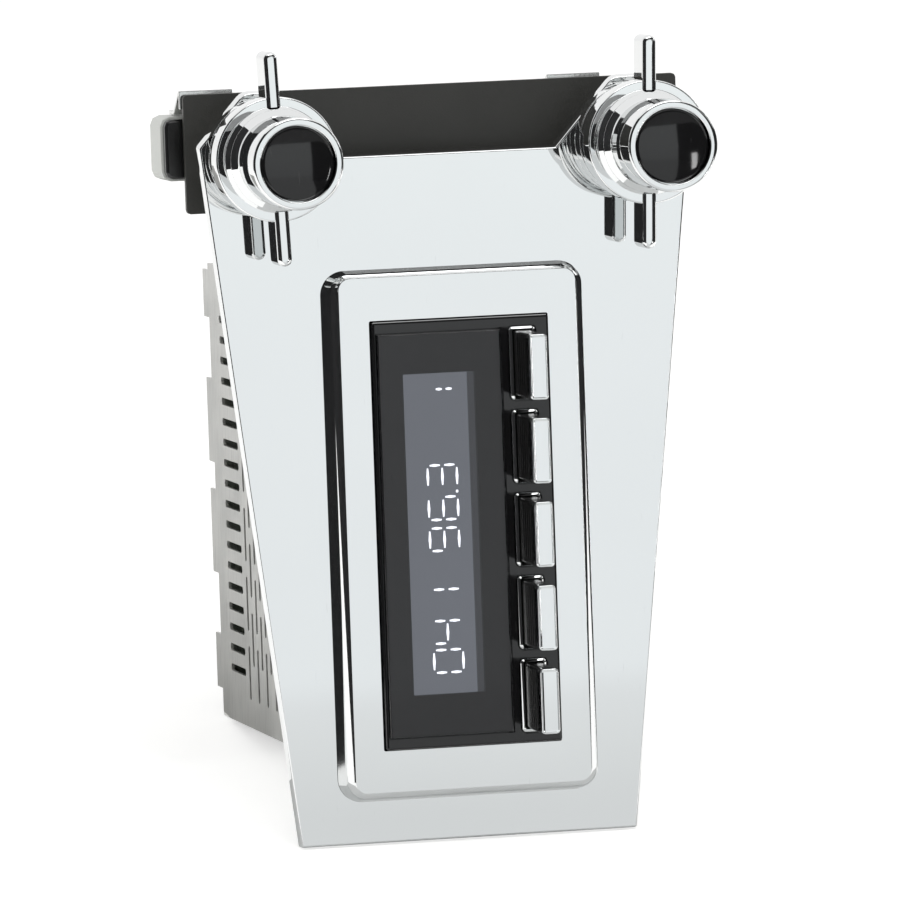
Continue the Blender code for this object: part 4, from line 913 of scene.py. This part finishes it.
rear_knob = turn(rear_section)
clean(rear_knob)
for way in (1, -1):
    combine(rear_knob, "UNION", wing(way))
CLEARANCE = 0.3 * MM
ROOM_DEPTH = 4 * MM
bpy.ops.mesh.primitive_cylinder_add(vertices=SIDES, radius=COLLAR_RADIUS + CLEARANCE, depth=ROOM_DEPTH,
                                    rotation=UPRIGHT, location=(0, KNOB_BACK + ROOM_DEPTH / 2, 0))
combine(rear_knob, "DIFFERENCE", bpy.context.object)
REST_TURN = {"left": math.radians(2.2), "right": math.radians(-1.9)}
for side, at in stacks.items():
    knob = copy_of(rear_knob)
    open_mesh(knob)
    bpy.ops.transform.rotate(value=REST_TURN[side], orient_axis="Y", center_override=(0, 0, 0))
    close_mesh()
    settle(knob, f"{side}_rear_knob", move=at)
discard(rear_knob)

# %% [markdown]
# The front knob has a flange that slopes down to a narrow neck, an even barrel and a rolled rim round the
# inlay. All of it is one turned outline.

# %% Front knobs
low, high = measure("left_front_knob")
FLANGE_BACK, RIM_FACE = high.y, low.y
FLANGE_RADIUS = (high.x - low.x) / 2
FLANGE_EDGE = 0.35 * MM
FLANGE_ROUND = 0.12 * MM
NECK_BACK = FLANGE_BACK - 1.8 * MM
NECK_FRONT = NECK_BACK - 6.5 * MM
NECK_RADIUS = 10.75 * MM
NECK_BACK_ROUND = 0.8 * MM
NECK_FRONT_ROUND = 0.2 * MM
BARREL_BACK = NECK_FRONT - 0.1 * MM
BARREL_BACK_ROUND = 0.25 * MM
RIM_RADIUS = 11.28 * MM
RIM_INNER = 9.35 * MM
RIM_ROUND = 0.7 * MM
RIM_INNER_ROUND = 0.3 * MM
INLAY_SEAT = RIM_FACE + 3.1 * MM
SHAFT_ROOM = 2.3 * MM
front_section = rounded_section([
    (SHAFT_ROOM, FLANGE_BACK, 0),
    (FLANGE_RADIUS, FLANGE_BACK, FLANGE_ROUND),
    (FLANGE_RADIUS, FLANGE_BACK - FLANGE_EDGE, FLANGE_ROUND),
    (NECK_RADIUS, NECK_BACK, NECK_BACK_ROUND),
    (NECK_RADIUS, NECK_FRONT, NECK_FRONT_ROUND),
    (RIM_RADIUS, BARREL_BACK, BARREL_BACK_ROUND),
    (RIM_RADIUS, RIM_FACE, RIM_ROUND),
    (RIM_INNER, RIM_FACE, RIM_INNER_ROUND),
    (RIM_INNER, INLAY_SEAT, 0),
    (SHAFT_ROOM, INLAY_SEAT, 0),
    (SHAFT_ROOM, FLANGE_BACK, 0),
])
settle_pair(turn(front_section), "front_knob")

# %% [markdown]
# The inlay is a polished black dome that sits in the rim. Its edge rolls over steeply, which is why the real
# one shows a black ring round what it mirrors. A high power of the radius gives such a dome: nearly nothing
# happens up to the edge, and then it drops.

# %% Inlays
DOME_RINGS = 24
DOME_HEIGHT = 0.70 * MM
DOME_EDGE = 0.35 * MM
EDGE_POWER = 36
INLAY_GAP = 0.15 * MM
DOME_SINK = 0.55 * MM
inlay_radius = RIM_INNER - INLAY_GAP
inlay_back = INLAY_SEAT - 0.1 * MM
dome_top = RIM_FACE + DOME_SINK
dome = [(inlay_radius, inlay_back), (inlay_radius, dome_top + DOME_HEIGHT + DOME_EDGE)]
for ring in range(1, DOME_RINGS):
    out = 1 - (ring / DOME_RINGS) ** 2
    dome.append((inlay_radius * out, dome_top + DOME_HEIGHT * out ** 2 + DOME_EDGE * out ** EDGE_POWER))
settle_pair(turn(dome, capped=True), "knob_inlay", "inlay")

# %% [markdown]
# The bezel is a chromed frame with a sloping flank, a rolled shoulder and a crisp crease round its flat face.
# Its outline changes on the way up: the corners get tighter, and the top slopes less than the sides. So it is
# lofted. One rounded rectangle is made for each step of the shoulder, and neighbours are bridged. The opening
# is cut last and its edge softened.

# %% Bezel
CORNER = 6.0 * MM
FACE_CORNER = 3.0 * MM
CORNER_STEPS = 14
TOP_SLOPE_SHARE = 0.5
BOTTOM_SLOPE_SHARE = 0.88
FLANK_WIDTH = 1.41 * MM
SHOULDER_DROP = 0.61 * MM
SHOULDER_ROUND = 3.2 * MM
SHOULDER_STEPS = 9
CREASE_INSET = 3.1 * MM
CREASE_EDGE = 0.08 * MM
OPENING_HALF_WIDTH = 22.65 * MM
OPENING_HALF_HEIGHT = 53.25 * MM
OPENING_CORNER = 0.5 * MM
OPENING_EDGE = 0.14 * MM


def outline_at(low, high, depth, corner):
    """A flat rounded rectangle that faces forward, at one depth."""
    bpy.ops.mesh.primitive_plane_add(size=1, rotation=UPRIGHT)
    outline = bpy.context.object
    outline.scale = (high.x - low.x, high.z - low.z, 1)
    outline.location = ((low.x + high.x) / 2, depth, (low.z + high.z) / 2)
    bpy.ops.object.transform_apply()
    open_mesh(outline)
    bpy.ops.mesh.bevel(offset=corner, segments=CORNER_STEPS, affect="VERTICES")
    close_mesh()
    return outline


def draw_out(run):
    """Extrudes what is selected along the depth of the radio, in edit mode."""
    bpy.ops.mesh.extrude_region_move(TRANSFORM_OT_translate={"value": (0, run, 0)})


def plate_blank(low, high, corner):
    """A rounded rectangle between two corners of a box, extruded from its back to its front."""
    blank = outline_at(low, high, high.y, corner)
    open_mesh(blank)
    draw_out(low.y - high.y)
    bpy.ops.mesh.select_all(action="SELECT")
    bpy.ops.mesh.normals_make_consistent(inside=False)
    return blank


def roll_front(blank, depth, width, segments):
    """Rounds over every edge that lies at one depth, in edit mode."""
    pick(blank, "EDGE", at_depth(depth))
    bpy.ops.mesh.bevel(offset=width, segments=segments)


low, high = measure("bezel")
slope = rounded_section([
    (0, high.y, 0),
    (FLANK_WIDTH, low.y + SHOULDER_DROP, SHOULDER_ROUND),
    (CREASE_INSET, low.y, 0),
], steps=SHOULDER_STEPS)
outlines = []
for inset, depth in slope:
    inner_low = low + Vector((inset, 0, inset * BOTTOM_SLOPE_SHARE))
    inner_high = high - Vector((inset, 0, inset * TOP_SLOPE_SHARE))
    corner = CORNER + (FACE_CORNER - CORNER) * inset / CREASE_INSET
    outlines.append(outline_at(inner_low, inner_high, depth, corner))
bezel = joined(outlines)
open_mesh(bezel)
pick(bezel, "FACE", lambda corner: slope[0].y - MERGE > corner.y > slope[-1].y + MERGE)
bpy.ops.mesh.delete(type="ONLY_FACE")
for back, front in zip(slope, slope[1:]):
    pick(bezel, "EDGE", lambda corner: min(abs(corner.y - back.y), abs(corner.y - front.y)) < MERGE / 4)
    bpy.ops.mesh.bridge_edge_loops()
bpy.ops.mesh.select_all(action="SELECT")
bpy.ops.mesh.normals_make_consistent(inside=False)
roll_front(bezel, low.y, CREASE_EDGE, segments=2)
close_mesh()
cut_low = Vector((-OPENING_HALF_WIDTH, low.y - MM, -OPENING_HALF_HEIGHT))
cut_high = Vector((OPENING_HALF_WIDTH, high.y + MM, OPENING_HALF_HEIGHT))
cutter = plate_blank(cut_low, cut_high, OPENING_CORNER)
close_mesh()
combine(bezel, "DIFFERENCE", cutter)
soften(bezel, OPENING_EDGE, segments=3, angle=60, miter="MITER_SHARP")
settle(bezel, "bezel")

# %% [markdown]
# The faceplate is a flat, mirror-bright sheet. Its solid is nearly right. In a merged copy the front outline
# is drawn in a little towards the middle, as the draft of a moulding does, so that its side walls lean
# forward and catch the light. A narrow bevel softens the edges, and the weighted normals keep the face dead
# flat.

# %% Faceplate
DRAFT = 0.18 * MM
PLATE_EDGE = 0.12 * MM
low, high = measure("faceplate")
plate_middle = (low.y + high.y) / 2


def on_front_outline(corner):
    """Whether a corner of the plate is in front and not on the edge of the opening."""
    by_opening = abs(corner.x) < OPENING_HALF_WIDTH + MM and abs(corner.z) < OPENING_HALF_HEIGHT + MM
    return corner.y < plate_middle and not by_opening


plate = merged_copy("faceplate")
open_mesh(plate)
pick(plate, "VERT", on_front_outline)
narrower = 1 - DRAFT / high.x
bpy.ops.transform.resize(value=(narrower, 1, narrower), center_override=(0, 0, 0))
close_mesh()
soften(plate, PLATE_EDGE)
settle(plate, "faceplate")

# %% [markdown]
# The push buttons: a chromed ring in the nose, a black stem with fine ribs for the finger, and a chromed cap.
# The ring rises like a low roof towards the stem, and the cap's face is dished inside a narrow border. The
# stem starts as a plane with round corners and is extruded again and again: out a little, in a little. One
# button is modelled and copied four times.

# %% Push buttons
BUTTONS = 5
STEM_CORNER = 0.7 * MM
CAP_CORNER = 0.95 * MM
CAP_EDGE = 0.32 * MM
CAP_BACK_EDGE = 0.12 * MM
CAP_BORDER = 0.15 * MM
CAP_SLOPE = 0.3 * MM
CAP_DISH = 0.12 * MM
RING_WALL = 0.85 * MM
RING_CORNER = 1.2 * MM
RING_SLOPES = [math.radians(angle) for angle in (62, 44, 38, 34, 30, 26, 20)]
RING_STEPS = len(RING_SLOPES)
RIB_COUNT = 6
RIB_SINK = 0.16 * MM
RIB_GAP = 0.45 * MM
RIB_SLOPE = 0.12 * MM
STOP_FRONT = -5.5 * MM
PLAIN_SHANK = 4.6 * MM


def button_middle(number):
    """The middle of a button on the plate."""
    low, high = measure(f"button_cap_{number}")
    return Vector(((low.x + high.x) / 2, 0, (low.z + high.z) / 2))


middle = button_middle(1)
cap_low, cap_high = [corner - middle for corner in measure("button_cap_1")]
ring_low, ring_high = [corner - middle for corner in measure("button_ring_1")]
stem_low, stem_high = [corner - middle for corner in measure("button_stem_1")]
cap = plate_blank(cap_low, cap_high, CAP_CORNER)
roll_front(cap, cap_low.y, CAP_EDGE, segments=5)
roll_front(cap, cap_high.y, CAP_BACK_EDGE, segments=2)
pick(cap, "FACE", at_depth(cap_low.y))
bpy.ops.mesh.inset(thickness=CAP_BORDER)
bpy.ops.mesh.inset(thickness=CAP_SLOPE, depth=-CAP_DISH)
close_mesh()

rises = [RING_WALL / RING_STEPS * math.tan(slope) for slope in RING_SLOPES]
blank_low = Vector((ring_low.x, ring_low.y + sum(rises), ring_low.z))
ring = plate_blank(blank_low, ring_high, RING_CORNER)
pick(ring, "FACE", at_depth(blank_low.y))
for rise in rises:
    bpy.ops.mesh.inset(thickness=RING_WALL / RING_STEPS, depth=rise)
draw_out(ring_high.y - ring_low.y)
bpy.ops.mesh.delete(type="ONLY_FACE")
pick(ring, "FACE", at_depth(ring_high.y))
bpy.ops.mesh.delete(type="ONLY_FACE")
pick(ring, "EDGE", at_depth(ring_high.y))
bpy.ops.mesh.bridge_edge_loops()
close_mesh()

shank_low = Vector((cap_low.x, STOP_FRONT, cap_low.z))
shank_high = Vector((cap_high.x, stem_high.y, cap_high.z))
stem = plate_blank(shank_low, shank_high, STEM_CORNER)
pick(stem, "FACE", at_depth(STOP_FRONT))
draw_out(-PLAIN_SHANK)
depth = STOP_FRONT - PLAIN_SHANK
ridge = (depth - stem_low.y) / RIB_COUNT - RIB_GAP
width = cap_high.x - cap_low.x
tall = cap_high.z - cap_low.z
sunk = (1 - 2 * RIB_SINK / width, 1, 1 - 2 * RIB_SINK / tall)
raised = (1 / sunk[0], 1, 1 / sunk[2])
steps = [(sunk, RIB_SLOPE), (None, RIB_GAP - 2 * RIB_SLOPE), (raised, RIB_SLOPE), (None, ridge)]
for rib in range(RIB_COUNT):
    for shape, run in steps:
        draw_out(-run)
        depth -= run
        if shape:
            bpy.ops.transform.resize(value=shape, center_override=(0, depth, 0))
close_mesh()
for number in range(1, BUTTONS + 1):
    middle = button_middle(number)
    settle(copy_of(cap), f"button_cap_{number}", move=middle)
    settle(copy_of(stem), f"button_stem_{number}", look="stem_black", move=middle)
    settle(copy_of(ring), f"button_ring_{number}", move=middle)
discard(ring)
discard(cap)
discard(stem)

# %% [markdown]
# The covers are punched sheet steel. The punch leaves slots with round ends, so in a merged copy of each
# cover the short edges that run through the sheet are found and bevelled into half circles.

# %% Covers
SHEET = 0.8 * MM
SLOT_ROUND = 0.9 * MM
COVER_RIM = 2.5 * MM
TABS_START = 142.5 * MM
COVER_EDGE = 0.1 * MM
for node in ("left_cover", "right_cover"):
    cover = merged_copy(node)
    low, high = measure(node)
    open_mesh(cover)
    punched = pick(cover, "EDGE",
                   lambda corner: low.y + COVER_RIM < corner.y < TABS_START
                   and low.z + COVER_RIM < corner.z < high.z - COVER_RIM,
                   lambda first, last: abs(first.x - last.x) > SHEET / 2)
    bpy.ops.mesh.bevel(offset=SLOT_ROUND, segments=5, clamp_overlap=True)
    close_mesh()
    print(node, "has", punched // 4, "slots")
    soften(cover, COVER_EDGE, segments=1, angle=60, miter="MITER_SHARP")
    settle(cover, node)

# %% [markdown]
# The display shows plain numbers in thin segments, read from the bottom of the radio to its top. Each segment
# is a six-sided circle, stretched until its two ends are points, and laid in the display's window.

# %% Numbers on the display
DIGIT_WIDTH = 5.6 * MM
DIGIT_TALL = 7.4 * MM
SEGMENT_THICK = 0.62 * MM
SEGMENT_SPACE = 0.35 * MM
SEGMENT_RELIEF = 0.04 * MM
DIGIT_BASE = -1.6 * MM
DIGIT_DEPTH = measure("display_panel")[0].y - 0.05 * MM
DIGITS = [("0", -34.6), ("4", -27.4), ("1", -19.6), ("9", -4.4), ("6", 3.3), ("3", 11.2)]
POINT_START, POINT_END = 9.4 * MM, 10.9 * MM
DASH_PLACE = 35.6 * MM
DASH_FOOT = 0.1 * MM
DASH_LENGTH = 2.5 * MM
LIT_SEGMENTS = {"0": "abcdef", "1": "bc", "3": "abcdg", "4": "bcfg", "6": "acdefg", "9": "abcdfg"}


def segment(start, end):
    """One lit segment between two places, each measured along the line of numbers and up from its foot."""
    along = Vector((end[0] - start[0], end[1] - start[1]))
    middle = Vector((start[0] + end[0], start[1] + end[1])) / 2
    bpy.ops.mesh.primitive_circle_add(vertices=6, radius=1, fill_type="NGON")
    stroke = bpy.context.object
    stroke.scale = (along.length / 2 - SEGMENT_SPACE, SEGMENT_THICK / 2 / math.sin(math.pi / 3), 1)
    stroke.rotation_euler.z = math.atan2(along.y, along.x)
    stroke.location = (*middle, 0)
    bpy.ops.object.transform_apply()
    return stroke


def digit(figure, left):
    """The segments of one figure that starts at a place along the line."""
    right = left + DIGIT_WIDTH
    half, full = DIGIT_TALL / 2, DIGIT_TALL
    corners = {
        "a": ((left, full), (right, full)), "b": ((right, half), (right, full)),
        "c": ((right, 0), (right, half)), "d": ((left, 0), (right, 0)),
        "e": ((left, 0), (left, half)), "f": ((left, half), (left, full)),
        "g": ((left, half), (right, half)),
    }
    return [segment(*corners[one]) for one in LIT_SEGMENTS[figure]]


strokes = []
for figure, start in DIGITS:
    strokes += digit(figure, start * MM)
strokes.append(segment((POINT_START, DASH_FOOT), (POINT_END, DASH_FOOT)))
for dash in range(2):
    foot = DASH_FOOT + dash * DASH_LENGTH
    strokes.append(segment((DASH_PLACE, foot), (DASH_PLACE, foot + DASH_LENGTH)))
print("The display shows", len(strokes), "strokes")
numbers = joined(strokes)
LINE_TO_PLATE = Matrix(((0, -1, 0, DIGIT_BASE), (0, 0, -1, DIGIT_DEPTH), (1, 0, 0, 0), (0, 0, 0, 1)))
numbers.data.transform(LINE_TO_PLATE)
apply(numbers, "SOLIDIFY", thickness=SEGMENT_RELIEF, offset=0)
settle(numbers, "display_panel", "display_numbers", look="digit_white", stands_in=False)

# %% [markdown]
# Last, the view layer is brought up to date.

# %% Finish
bpy.context.view_layer.update()
